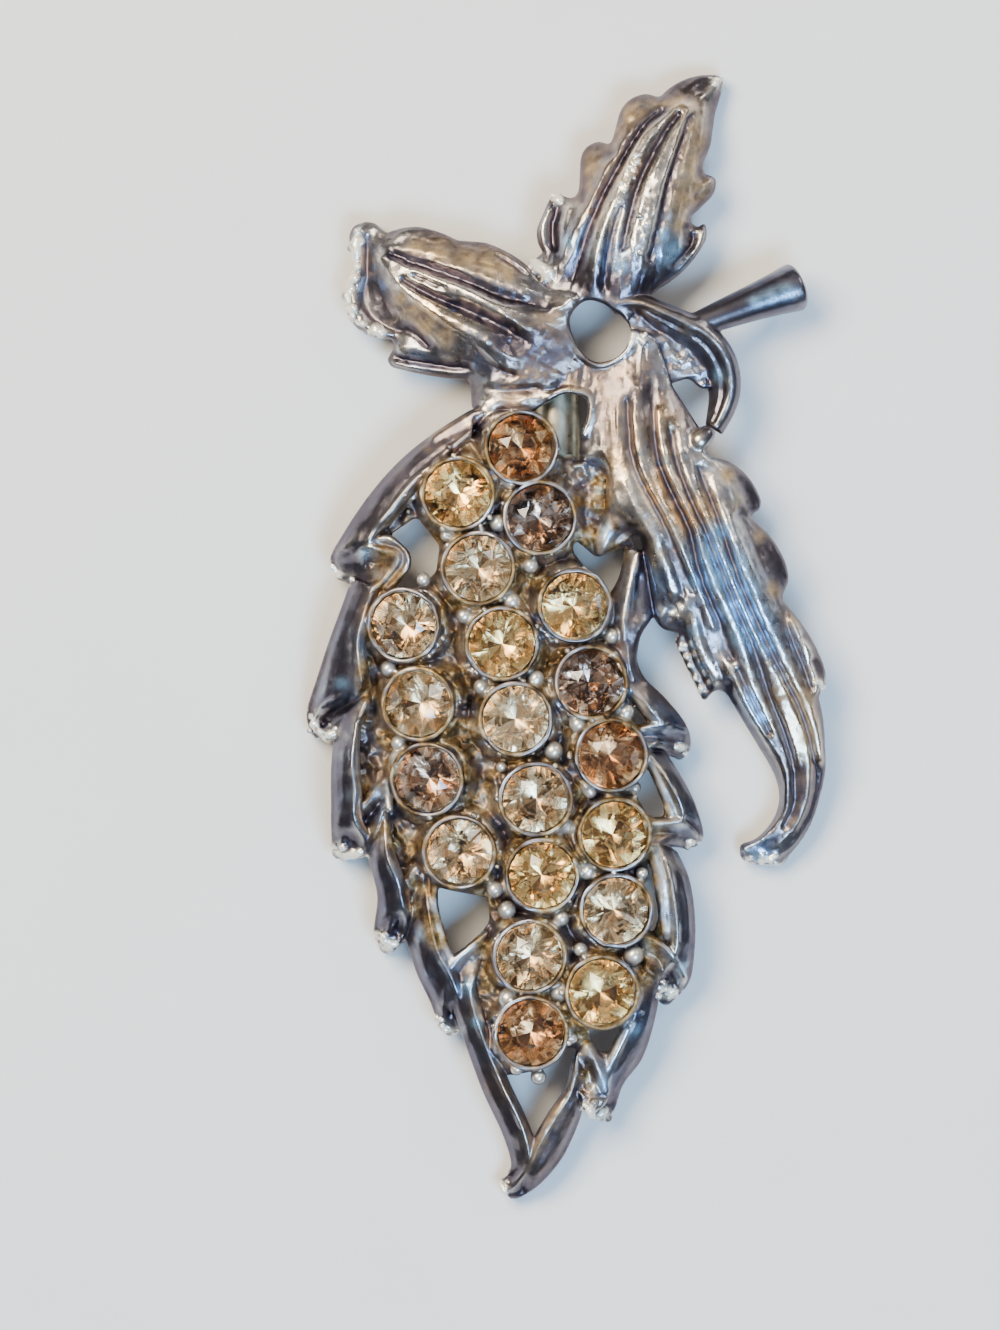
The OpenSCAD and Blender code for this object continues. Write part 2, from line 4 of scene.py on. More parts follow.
import bpy
import numpy as np
import openvdb
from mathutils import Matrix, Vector


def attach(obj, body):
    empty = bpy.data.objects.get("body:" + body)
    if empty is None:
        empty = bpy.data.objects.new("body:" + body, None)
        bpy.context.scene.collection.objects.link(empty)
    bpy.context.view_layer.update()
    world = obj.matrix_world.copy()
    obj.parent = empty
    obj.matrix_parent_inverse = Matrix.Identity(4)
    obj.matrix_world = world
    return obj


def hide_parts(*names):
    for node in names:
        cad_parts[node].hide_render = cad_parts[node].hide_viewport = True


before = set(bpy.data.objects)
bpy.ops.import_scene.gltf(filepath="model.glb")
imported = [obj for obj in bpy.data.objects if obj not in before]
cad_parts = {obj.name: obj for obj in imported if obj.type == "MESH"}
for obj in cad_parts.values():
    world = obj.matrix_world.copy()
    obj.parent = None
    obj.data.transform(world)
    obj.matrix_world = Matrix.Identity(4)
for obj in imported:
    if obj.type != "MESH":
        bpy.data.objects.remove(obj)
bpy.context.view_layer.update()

MM = 0.001

# Grid that the casting is sculpted on: cell size, corners, cells along each axis, their positions
PITCH = 0.1
LOW = np.array([-15.2, -32.2, -0.5])
HIGH = np.array([15.2, 32.2, 6.3])
SHAPE = tuple(np.round((HIGH - LOW) / PITCH).astype(int) + 1)
GX, GY, GZ = (LOW[a] + PITCH * np.arange(SHAPE[a]) for a in range(3))
TRIANGLES = 197000
SEED = 17

# Sizes shared with the source
STONE_D = 3.7
CROWN_H = 0.7
GIRDLE_H = 0.14
PAVILION_H = 1.45
CUP_H = 1.25
GIRDLE_BELOW_RIM = 0.28
CUP_R = STONE_D / 2 + 0.06 + 0.2
PLATE_Z = 4.15
SEAT_R = 1.88
SEAT_DEPTH = 0.78
DOME_DROP = 1.1
DOME_HALF = 7.5
DOME_SHIFT = 2.4
DOME_LEAN = 0.11
DOME_MIDDLE = 8
DOME_FLAT = 1.6
END_FALL = 0.03
TOOTH_SLOPE = 0.85
EDGE_T = 0.8

# Middles of the stones: x, y
STONES = [
    (-2.6, 10.5), (-6, 7.95), (-1.6, 6.6), (-4.9, 3.8), (0.3, 1.7), (-8.9, 0.65), (-3.6, -0.4), (1.2, -2.6),
    (-8.1, -3.75), (-2.85, -4.6), (2.3, -6.65), (-7.6, -7.95), (-1.75, -9.05), (-5.85, -12), (2.5, -11.05),
    (-1.4, -13.3), (2.6, -15.3), (-2.05, -17.85), (1.85, -19.85), (-1.95, -22.1)]

# Middles of the cast beads: x, y
BEADS = [
    (-3.9, 6.3), (-6.8, 5.6), (-5.6, 1.1), (-4.7, -2.8), (-2, 3.9), (-3.1, 2), (3.3, -4.2), (-0.8, -6.4),
    (-3.7, -7.3), (-1.7, -2.3), (2.5, 0), (-8, 3.2), (-9.9, -1.8), (-9.4, -5.9), (-9.5, -6.8), (3.8, -8.5),
    (1.3, -8.7), (0.6, -4.9), (-4, -14.1), (4.2, -13.2), (-0.3, -15.8), (1.1, -13.2), (0.8, -17.5),
    (-3.3, -15.3), (-3.3, -20.2), (-0.4, -19.9), (0.3, -22.4), (-1.5, -24.6), (-2.8, -24.2), (3.7, -17.8),
    (-0.1, -10.7), (-3.1, 8.6)]

# Outlines run anticlockwise: x, y and, where the way to the next row swells outwards, by how much. A leaf's
# rows also give the height of its edge. None stands where a row gives the outline or the edge alone.
TOP_LEAF = [
    (5.1, 19.4, 0.3, 3.6), (7.8, 22.2, 0.1, 2.6), (7.75, 23.2, 0, 2.6), (7.3, 22.9, 0, None),
    (6.85, 23.4, 0, None), (8.1, 24.6, 0.1, None), (6.9, 23.4, None, 2.7), (8.4, 25.6, 0.1, 2.4),
    (7.8, 25.9, 0, None), (7.6, 26.4, 0, 2.3), (8.1, 27.5, 0, 2.2), (8.35, 29.3, 0, 1.3),
    (8.9, 31.2, 0.1, 1), (8.3, 31.6, 0.4, 1), (5.2, 30.25, 0, 2), (4.6, 30.5, 0.45, 1.9),
    (2.85, 28.9, 0, 2.4), (2.5, 27.55, 0, 2.8), (1.9, 27.8, 0.3, 2), (0.78, 26.7, 0, 2.3),
    (0.7, 24.9, 0, 2.8), (0.3, 24.5, 0, None), (-0.5, 24.9, 0.15, 2.4), (-1.1, 24.2, 0, None),
    (-1.65, 22.9, 0.15, 2.6), (-1.3, 21.5, 0.1, 2.8), (-2, 20.8, 0, 3), (-1.1, 19.6, 0, 3.5),
    (-0.3, 17.8, 0, 4.2), (3.2, 17.4, 0, 4.4)]
LEFT_LEAF = [
    (0.9, 15, 0, 4.2), (1.2, 19.2, 0, 4.2), (-1.2, 19.7, 0, 3.5), (-2.1, 20.7, 0.15, 3.2),
    (-4.6, 22.1, 0, 2.9), (-6.1, 22.2, 0.1, 2.8), (-8.3, 23, 0.1, 2.3), (-10.1, 22.65, 0, 2.1),
    (-10.7, 23.2, 0.15, 1.6), (-11.9, 23.1, 0.1, 1.3), (-12.2, 22.3, 0, 1.3), (-11.8, 20.6, 0, 1.5),
    (-12.2, 19.6, 0, None), (-12.4, 18.5, 0.2, 1.4), (-11.3, 17, 0.1, 1.7), (-9.8, 16.7, 0, 2.1),
    (-9.6, 16.3, 0, None), (-10.05, 15.6, 0.15, 1.9), (-9.5, 15.05, 0.1, 2), (-5.4, 14.35, 0, 2.7),
    (-5.3, 12.6, 0, 3.4), (-2.5, 12.4, 0, 3.9), (-0.8, 13.7, 0, 4.1)]
LONG_LEAF = [
    (-0.6, 13.6, 0, 4.2), (1.45, 13.4, 0, 4.3), (1.2, 11.8, 0, 4.2), (0.6, 10.2, 0, 3.7),
    (1.2, 9.6, 0, 3.4), (2.2, 9.5, 0, 3.7), (2.2, 7.2, 0, 3.5), (1.4, 5.7, 0, 3.5), (1.7, 4.4, 0, 3.6),
    (2.7, 4.9, 0, 3.4), (4, 5.9, 0, 3.9), (4.4, 4.4, 0, 3.7), (4.9, 0.95, 0, 3.3), (5.4, 0.35, 0, 3.2),
    (6.4, 0.2, 0, 3.3), (6, -0.2, 0, 2.8), (6.9, -2.1, 0, 2.6), (7.7, -3.75, 0, 2.4), (8.3, -2.95, 0, 3.1),
    (8.9, -3.1, 0, 3), (11.4, -7.2, -0.95, 2), (11.9, -9.2, None, 1.5), (10.56, -11.46, 0, 1.5),
    (9.7, -11.65, 0, 1.3), (9.8, -12.5, 0.2, 1), (12, -12.8, 0.4, 1), (14.25, -8.9, 0.15, 2),
    (14.5, -6.2, 0.1, 2.6), (14.1, -3.3, 0, 3), (14.6, -2.7, 0, 3), (14.45, -1.7, 0.25, 3.1),
    (12, 2.1, 0, 3.7), (12.5, 3.2, 0, 3.2), (12.3, 4.1, 0.25, 3.2), (10.2, 6.7, 0, 3.6),
    (10.8, 7.1, 0.1, 3.3), (10.8, 7.9, 0.3, 3.2), (8.8, 9.9, 0, 3.9), (7.8, 10.1, 0, 4.2),
    (7.6, 11.4, 0, 4.2), (5.9, 14, 0, 4.2), (5, 16.8, 0, 4.2), (3.6, 17.2, 0, 4.2), (3, 15.2, 0, 4.2),
    (0.5, 15.4, 0, 4.2)]
PLATE = [
    (-1.2, 11.2), (-2.6, 12.6), (-5.2, 12.6), (-8.5, 8.8, 0.3), (-11, 5.2), (-11.8, 1, 0.2), (-12.1, -8),
    (-11.4, -11.2), (-9.8, -12.8), (-9, -16), (-7.4, -18), (-5.6, -19.6), (-5, -21.8), (-3.9, -24.4),
    (-3, -24.6), (-1, -24.1), (0.1, -22.9), (0.7, -23.2), (0.1, -24.5), (1.2, -26.9), (2.3, -26.2),
    (2.6, -23.6), (3.9, -21.2), (5.7, -18.8), (6.1, -15.5), (5.4, -12.6), (6.5, -10.4), (5.4, -7.6),
    (4.6, -6.2), (5.5, -5.1), (3.4, -2.6), (3.3, 0.4), (4.6, 1.2), (4.6, 3), (3.6, 5.6), (2.6, 9.4),
    (0.9, 9.8)]
HOLES = [
    [(1, 18.8, 0.3), (0.1, 17.1, 0.35), (1.9, 15.3, 0.35), (3.6, 16.6, 0.35), (2.6, 18.2, 0.2)],
    [(-0.7, 13.65), (-2.3, 12.2), (-1.3, 10.9), (-0.3, 10, 0.1), (0.4, 10.1, 0.1), (1.2, 12, 0.05),
     (1.3, 13.4, 0.1)],
    [(-8.4, 6.7), (-9.9, 5.7), (-8.7, 4.6), (-8.7, 3.8), (-9.7, 2.7), (-8.4, 2.7), (-7.3, 3.6),
     (-7.1, 5.1)],
    [(-7.3, -14), (-7.2, -15.8), (-6.4, -17.9), (-4.9, -16.8), (-4.3, -15.9), (-4.4, -14.6), (-6.1, -14.3)],
    [(0.5, 5.4), (0.3, 4.8), (1.8, 3), (2.5, 2.1), (3.35, 3.8), (3.2, 5), (1.7, 4.4)],
    [(3, -2.9), (3.8, -4.3), (3.7, -4.9), (4.6, -4.9)],
    [(4.2, -6.9), (3.8, -8), (3.9, -8.9), (4.6, -10.1), (5.5, -10.1), (5.4, -9), (4.8, -7.5)],
    [(4.5, -12.5), (4.6, -13.5), (4.2, -14.1), (4.7, -15.2), (4.4, -16.3), (4.9, -16.6), (5.3, -15.3),
     (5, -13.6)],
    [(1.2, -21.8), (1.3, -22.6), (2, -23.3), (2.7, -23.1), (3.2, -21.9)]]
WEB = [
    (2.4, 18.9), (3.3, 17.6), (3.4, 15.4), (5.4, 14), (6.9, 14.5), (7.5, 13.8), (8.6, 14), (7, 17),
    (4, 18.6)]

# Frame teeth: x, y of the outer edge, x, y and height of the ridge
LEFT_TEETH = [
    [(-5.2, 12.6, -5.1, 11.6, 4.3), (-7.4, 11.4, -7, 10, 4.4), (-9.3, 9.9, -8.6, 8.5, 4.5),
     (-11, 8, -9.9, 6.9, 4.4), (-12.5, 5.8, -10.8, 5.8, 4.1), (-13.3, 4.2, -11.1, 5, 3.9),
     (-12.6, 3.1, -11.3, 3.5, 2.2)],
    [(-12, 3.4, -10.7, 3, 3.5), (-12.6, 1.7, -11.2, 1.4, 4.1), (-13.3, -0.2, -11.6, -0.2, 4.2),
     (-14, -2.3, -11.5, -1.6, 4.2), (-14.6, -4.2, -11.4, -2.8, 3.9), (-14.4, -5.4, -12.2, -4.6, 2.4),
     (-13.8, -6, -12.7, -5.6, 1.4)],
    [(-13, -4.9, -11.5, -3.6, 3.5), (-13.2, -7.4, -11.9, -6.4, 4.1), (-13.2, -9.3, -11.8, -8.8, 4.1),
     (-13.2, -10.8, -11.8, -10.2, 3.9), (-13.1, -12.1, -11.2, -11.6, 3), (-12.6, -12.6, -11, -12.4, 1.6)],
    [(-11.5, -11.2, -10.2, -9.4, 3.5), (-11, -12.9, -10, -12, 4), (-10.6, -14.6, -9.4, -13.7, 4),
     (-10.8, -16.7, -9, -15.6, 3.5), (-10.1, -17.8, -9, -17.1, 1.7)],
    [(-9.6, -15.4, -7.9, -13.4, 3.4), (-8.9, -17.3, -7.6, -15.7, 3.9), (-8.4, -18.9, -7.2, -17.5, 3.9),
     (-7.6, -20.6, -6.3, -19.2, 3.8), (-7.1, -22, -5.8, -20.8, 3.3), (-6.5, -22.6, -5.4, -22, 2)],
    [(-6.9, -19.6, -5.6, -19.2, 3.8), (-5.8, -22.5, -4.8, -22, 3.8), (-4.7, -25.5, -3.6, -25, 3.5),
     (-3.6, -27.9, -2.4, -27.6, 3.1), (-3.1, -29.7, -2.1, -29.3, 2.6), (-3.6, -30.5, -2.8, -30.6, 1.8),
     (-3.9, -31, -3.3, -31.3, 1.1)]]
RIGHT_TEETH = [
    [(4.4, 0.9, 3, 1.6, 3.7), (3.9, -0.8, 3.1, -0.9, 3.9), (4.3, -2.2, 3.3, -2.4, 4),
     (5.5, -3.4, 4.4, -3.8, 4), (6.7, -4.9, 5.4, -5, 3.8), (7, -6.2, 5.4, -5.6, 3),
     (6.6, -6.9, 5.5, -6.3, 1.9)],
    [(5.6, -6.5, 4.4, -6.3, 3.7), (6.6, -8.1, 5.5, -7.8, 4), (7.3, -9.6, 6.4, -9.5, 3.9),
     (7.7, -11.3, 6.4, -10.5, 3.5), (7, -12, 5.8, -11.5, 2)],
    [(6.2, -12, 4.95, -11.2, 3.7), (6.9, -13.6, 5.7, -13.1, 3.9), (7.2, -15.6, 6.1, -15.5, 3.9),
     (7.2, -17.4, 6.1, -17.4, 3.8), (6.9, -19.4, 5.5, -18.6, 3.2), (5.8, -20.7, 4.9, -19.8, 1.6)],
    [(5.4, -19, 4.3, -18.6, 3.5), (5, -21.3, 3.8, -21.1, 3.7), (4.3, -23.6, 2.9, -23, 3.5),
     (3.2, -25.1, 2.1, -24.5, 3.2), (2.7, -26.6, 1.7, -25.9, 2.6), (2, -27.4, 1.4, -26.8, 1.8)],
    [(1.7, -25, 0.6, -23.6, 3.6), (1, -26.4, 0.2, -25.5, 3.5), (0.5, -27.8, -0.7, -26.9, 3.3),
     (-0.3, -29.4, -1.5, -28.3, 3), (-1.5, -30.8, -2.1, -29.6, 2.5), (-2.7, -31.6, -2.8, -30.7, 1.7),
     (-3.4, -31.6, -3.6, -31.1, 1.1)]]

# Webs that join two teeth and the plate: outline, and curves as in the leaves below
JOINS = [
    ([(-13.1, 3.3), (-11, 2.5), (-9.75, 2.6), (-8.65, 3.85), (-8.75, 4.75), (-9.9, 5.8), (-11.2, 5.4),
      (-12.8, 4.4)],
     [("r", [(-11, 5.5, 3.9), (-9.9, 5.55, 4), (-8.95, 4.7, 4.05), (-8.85, 3.9, 4), (-9.8, 2.8, 3.9),
       (-10.6, 2.2, 3.9)]),
      ("f", [(-10.6, 5.1, 3.75), (-9.5, 4.95, 3.75), (-9.1, 4.3, 3.75), (-9.9, 3.15, 3.7),
       (-10.8, 2.3, 3.7)]),
      ("r", [(-12.9, 4.3, 2.2), (-11.2, 4.85, 3.9), (-9.7, 4.7, 4), (-9.4, 4.25, 4), (-10.1, 3.4, 3.8),
       (-11, 2.6, 3.7)]),
      ("f", [(-12.9, 3.75, 1.4), (-11.5, 4, 2.4), (-10.2, 4.15, 3.2)]),
      ("r", [(-13.1, 3.4, 1.5), (-12.2, 3.2, 2), (-11.2, 3.1, 2.9), (-10.4, 3.3, 3.5)])]),
    ([(-14.4, -5.2), (-13.5, -5.9), (-12, -5.6), (-11, -4.2), (-10.9, -2.4), (-11.9, -2.3), (-13.9, -3.9)],
     [("r", [(-11.2, -1.9, 4), (-11.5, -2.6, 3.8), (-12.5, -3.2, 3.4), (-13.8, -4, 2.9)]),
      ("f", [(-11.6, -3.2, 3), (-12.6, -3.9, 2.5), (-13.4, -4.5, 2.1)]),
      ("r", [(-11.2, -3.6, 3.9), (-11.7, -4.6, 3.8), (-12.3, -5.3, 2.9), (-13.2, -5.5, 2.3),
       (-14, -5.2, 2)]),
      ("f", [(-13.5, -4.8, 1.5), (-13.8, -5, 1.5)])]),
    ([(-13, -11.8), (-12.2, -12.5), (-11.2, -12.4), (-10.2, -10), (-9.9, -8), (-10.6, -8), (-12.2, -10.2)],
     [("r", [(-10.2, -8.1, 4), (-11.1, -9.2, 3.7), (-12, -10.4, 3.2), (-12.6, -11.5, 2.6)]),
      ("f", [(-10.4, -9.2, 3.3), (-11.2, -10.3, 2.7), (-11.9, -11.4, 2.1)]),
      ("r", [(-10.2, -9.4, 3.9), (-10.6, -10.8, 3.6), (-11.2, -12, 2.9)])]),
    ([(-10.6, -17.4), (-9.6, -17.8), (-8.2, -15), (-7.7, -13), (-8.6, -12.6), (-9.6, -14.6)],
     [("r", [(-8.3, -12.8, 3.9), (-9.1, -14.1, 3.6), (-9.6, -15.8, 3.1), (-10.2, -17, 2.4)]),
      ("f", [(-8.3, -13.9, 3.2), (-8.9, -15.3, 2.7), (-9.5, -16.7, 2.2)]),
      ("r", [(-7.9, -13.4, 3.8), (-8.2, -15, 3.5), (-9, -17, 2.8)])]),
    ([(-7.2, -21.9), (-6.2, -22.4), (-5.3, -20.4), (-5, -18.8), (-4.3, -16.3), (-4.9, -16.7),
      (-6.5, -18.1), (-6.9, -19.6)],
     [("r", [(-4.5, -16.6, 3.9), (-5.7, -17.5, 3.95), (-6.5, -18.3, 3.9), (-6.8, -20, 3.4),
       (-6.9, -21.4, 2.6)]),
      ("f", [(-4.9, -17.7, 3.6), (-5.8, -18.5, 3.5), (-6.2, -19.8, 3), (-6.4, -21.2, 2.2)]),
      ("r", [(-4.9, -18.8, 3.9), (-5.3, -19.6, 3.9), (-5.6, -21.2, 3.4)])]),
    ([(3.6, -5.2), (4.6, -4.85), (5.4, -4.7), (6.9, -5.2), (6.9, -6.7), (6.2, -6.9), (5, -6.3),
      (4.2, -6.7), (3.6, -6.2)],
     [("r", [(3.8, -5.2, 3.9), (4.7, -5, 3.95), (5.6, -4.9, 3.9), (6.6, -5, 3.2)]),
      ("f", [(3.9, -5.7, 3.6), (5, -5.6, 3.4), (6.2, -5.9, 2.4)]),
      ("r", [(3.9, -6.4, 3.8), (5, -6.1, 3.7), (6.1, -6.6, 2.3), (6.7, -6.6, 1.9)])]),
    ([(4.4, -10.2), (5.5, -10.2), (6.5, -10), (7.6, -11.2), (7, -12), (5.6, -11.7), (4.8, -12),
      (4.3, -11.4)],
     [("r", [(4.5, -10.4, 3.9), (5.6, -10.4, 3.9), (6.6, -10.3, 3.7), (7.4, -10.9, 3)]),
      ("f", [(4.8, -11, 3.5), (5.9, -11, 3.2), (6.8, -11.3, 2.5)]),
      ("r", [(4.6, -11.7, 3.8), (5.6, -11.5, 3.4), (6.6, -11.9, 2.1)])]),
    ([(4, -16.5), (4.9, -16.7), (6, -17.6), (6.9, -19.2), (6, -20.6), (5.2, -19.8), (4.3, -18.8)],
     [("r", [(4.2, -16.7, 3.9), (5.1, -17, 3.9), (6, -17.9, 3.8), (6.6, -19.2, 3)]),
      ("f", [(4.5, -17.6, 3.5), (5.3, -18.3, 3.1), (6.1, -19.5, 2.2)]),
      ("r", [(4.4, -18.5, 3.7), (5, -19.1, 3.3), (5.6, -20.3, 1.9)])]),
    ([(0.6, -22.9), (1.3, -22.7), (2, -23.5), (2.8, -23), (2.4, -26.6), (1.4, -27.1), (0.9, -26),
      (0.2, -24.4)],
     [("r", [(1.1, -22.9, 3.7), (1.7, -24, 3.6), (2, -25.3, 3.1)]),
      ("f", [(1, -24, 3.2), (1.3, -25.2, 2.8), (1.5, -26.3, 2.1)]),
      ("r", [(0.5, -23.4, 3.7), (0.6, -24.6, 3.4), (1, -26.2, 2.4)])]),
    # neck from the long leaf to the frame
    ([(3.35, 5), (2.9, 3.2), (2.3, 2.2), (2.35, 0.2), (2.9, -1.4), (3, -2.6), (4.3, -2.9), (3.85, -1.4),
      (4.15, 0.1), (4.6, 0.75), (5, 1.3), (4.9, 3), (4.5, 4.8)],
     [("r", [(4, 4.8, 3.9), (3.7, 3.4, 4), (3.4, 2.2, 4.15), (3.25, 1, 4.2), (3.25, -0.2, 4.15),
       (3.4, -1.4, 4.05), (3.7, -2.5, 3.95)]),
      ("p", [(4.5, 3.6, 3.6), (4.5, 2.2, 3.7), (4.4, 1.3, 3.8)]),
      ("f", [(4, 3.4, 3.75), (3.95, 2, 3.85), (3.85, 1.1, 3.9)]),
      ("r", [(4.4, 0.9, 3.95), (4.05, 0.4, 4), (3.75, -0.4, 4)])])]

# Thin bars at the plate's border: x, y and height of both ends
STRUTS = [
    (3.3, -2.6, 3.9, 5.2, -4.8, 3.7), (4.5, -6.6, 3.8, 5.9, -9.9, 3.7), (4.8, -11.9, 3.8, 5.5, -16.4, 3.7),
    (-10.1, -8.1, 4, -9.9, -9.6, 4)]

# Curves of the leaves: kind, then rows of x, y and height. Kinds: r rib, f furrow, p plain face
TOP_CURVES = [
    # rib A, left of the middle
    ("r", [(6.5, 29.8, 2.95), (5.6, 29.1, 3.35), (4.6, 28.2, 3.8), (4, 27.3, 4.1), (3.4, 26, 4.45),
     (2.9, 24.8, 4.7), (2.4, 23.6, 4.85), (2, 22.6, 4.9), (1.75, 21.5, 4.85), (1.55, 20.4, 4.75),
     (1.5, 19.4, 4.55)]),
    # rib B, right of the middle, wide and flat
    ("r", [(6.85, 29.7, 2.9), (6.35, 28.6, 3.45), (5.75, 27.5, 3.85), (5.1, 26.3, 4.25),
     (4.7, 25.2, 4.55), (4.3, 24, 4.75), (4, 23, 4.85), (3.75, 21.8, 4.85), (3.6, 20.6, 4.75),
     (3.5, 19.5, 4.6)]),
    ("r", [(6.5, 28.5, 3.4), (6.05, 27.5, 3.8), (5.55, 26.3, 4.2), (5.2, 25.2, 4.5), (4.85, 24, 4.7),
     (4.55, 23, 4.8), (4.3, 21.8, 4.8), (4.1, 20.6, 4.7)]),
    # furrow between A and B
    ("f", [(6.3, 29.3, 2.85), (5.5, 28.2, 3.3), (4.85, 27, 3.65), (4.25, 25.8, 3.95), (3.85, 24.8, 4.2),
     (3.6, 23.8, 4.35), (3.3, 22.6, 4.45), (3.1, 21.6, 4.4)]),
    # small rib in that furrow, and the furrow left of it
    ("r", [(3.45, 24.4, 4.45), (3.15, 23.3, 4.6), (2.9, 22, 4.65), (2.75, 20.9, 4.6), (2.7, 19.6, 4.5)]),
    ("f", [(3, 24, 4.4), (2.65, 22.9, 4.45), (2.4, 21.8, 4.45), (2.2, 20.6, 4.35), (2.1, 19.4, 4.2)]),
    # left fold and the dark furrow inside it
    ("r", [(4.95, 29.4, 2.85), (4.2, 28.8, 3.1), (3.5, 28.1, 3.35), (2.9, 27.1, 3.6), (2.3, 26.3, 3.8),
     (1.8, 25.3, 4), (1.3, 24.3, 4.1), (0.9, 23.4, 4.15), (0.5, 22.6, 4.1), (0.1, 21.9, 4),
     (-0.2, 21, 3.9), (-0.6, 20, 3.7), (-0.9, 19.7, 3.6)]),
    ("f", [(5.5, 29.5, 2.75), (4.6, 28.9, 2.9), (3.9, 28, 3.2), (3.3, 27, 3.45), (2.7, 25.9, 3.7),
     (2.1, 24.9, 3.85), (1.6, 23.8, 3.95), (1.2, 22.8, 4), (0.9, 21.8, 4), (0.6, 20.8, 3.9),
     (0.3, 19.9, 3.8)]),
    # furrow right of B, small rib beyond it
    ("f", [(6.9, 29.2, 2.75), (6.6, 28.2, 3.1), (6.25, 27.2, 3.4), (5.95, 26.2, 3.75), (5.65, 25.2, 4),
     (5.4, 24.2, 4.2), (5.15, 23, 4.3), (4.9, 22, 4.3), (4.65, 21, 4.25)]),
    ("r", [(7.1, 28.9, 2.9), (6.85, 27.6, 3.3), (6.5, 26.4, 3.7), (6.25, 25.3, 3.95), (5.95, 24.2, 4.15),
     (5.7, 23, 4.2), (5.45, 22, 4.25), (5.3, 21, 4.2), (5, 20.2, 4.1)]),
    # right flank
    ("p", [(7.5, 29.6, 2.3), (7.5, 28.3, 2.75), (7.2, 27, 3.1), (7.1, 25.8, 3.35), (6.9, 24.6, 3.5),
     (6.5, 23.4, 3.7), (6.3, 22.3, 3.8), (6, 21.2, 3.8)]),
    # lip and hollow of the lower right lobe
    ("r", [(7.75, 22.9, 2.9), (7.65, 22.2, 3), (7.1, 21.4, 3.15), (6.3, 20.5, 3.35), (5.5, 19.8, 3.6)]),
    ("f", [(7.1, 22.5, 2.6), (7, 21.9, 2.75), (6.5, 21.3, 3.05), (5.9, 20.7, 3.4)]),
    ("p", [(6.9, 23.3, 2.8), (6.75, 22.8, 2.9), (7.3, 22.75, 2.85)]),
    # upper right lobe
    ("r", [(7.1, 24.6, 3), (7.7, 25.1, 2.8), (8.1, 25.6, 2.7)]),
    ("f", [(7.4, 26.2, 2.5), (7.5, 25.6, 2.6)]),
    # left lobes
    ("r", [(4.5, 30, 2.25), (3.9, 29.4, 2.75), (3.4, 28.9, 2.9)]),
    ("r", [(1.8, 27.3, 2.4), (1.6, 26.6, 3), (1.5, 25.6, 3.3)]),
    ("p", [(2.6, 27, 3.1), (1.9, 26.8, 2.95), (1.6, 26.3, 3.2)]),
    ("r", [(1.1, 26, 2.8), (1, 25, 3), (0.9, 24.3, 3.3)]),
    # lens-shaped lower left lobe: hollow, and a rim on either side
    ("f", [(-0.5, 24.1, 2.7), (-0.75, 23.2, 2.6), (-0.8, 22.3, 2.65), (-0.7, 21.6, 2.9)]),
    ("r", [(-1, 24, 2.9), (-1.4, 23, 3), (-1.35, 22.2, 3.05), (-1.1, 21.5, 3.1)]),
    ("r", [(0.2, 24, 3.4), (0, 23.2, 3.5), (-0.1, 22.6, 3.55)]),
    # tip folded down on its right side
    ("r", [(7.2, 30.3, 1.9), (7.9, 30.6, 1.7), (8.6, 31.2, 1.5)]),
    ("f", [(7.85, 30.2, 1.75), (7.9, 29.3, 2), (7.85, 28.3, 2.3)])]

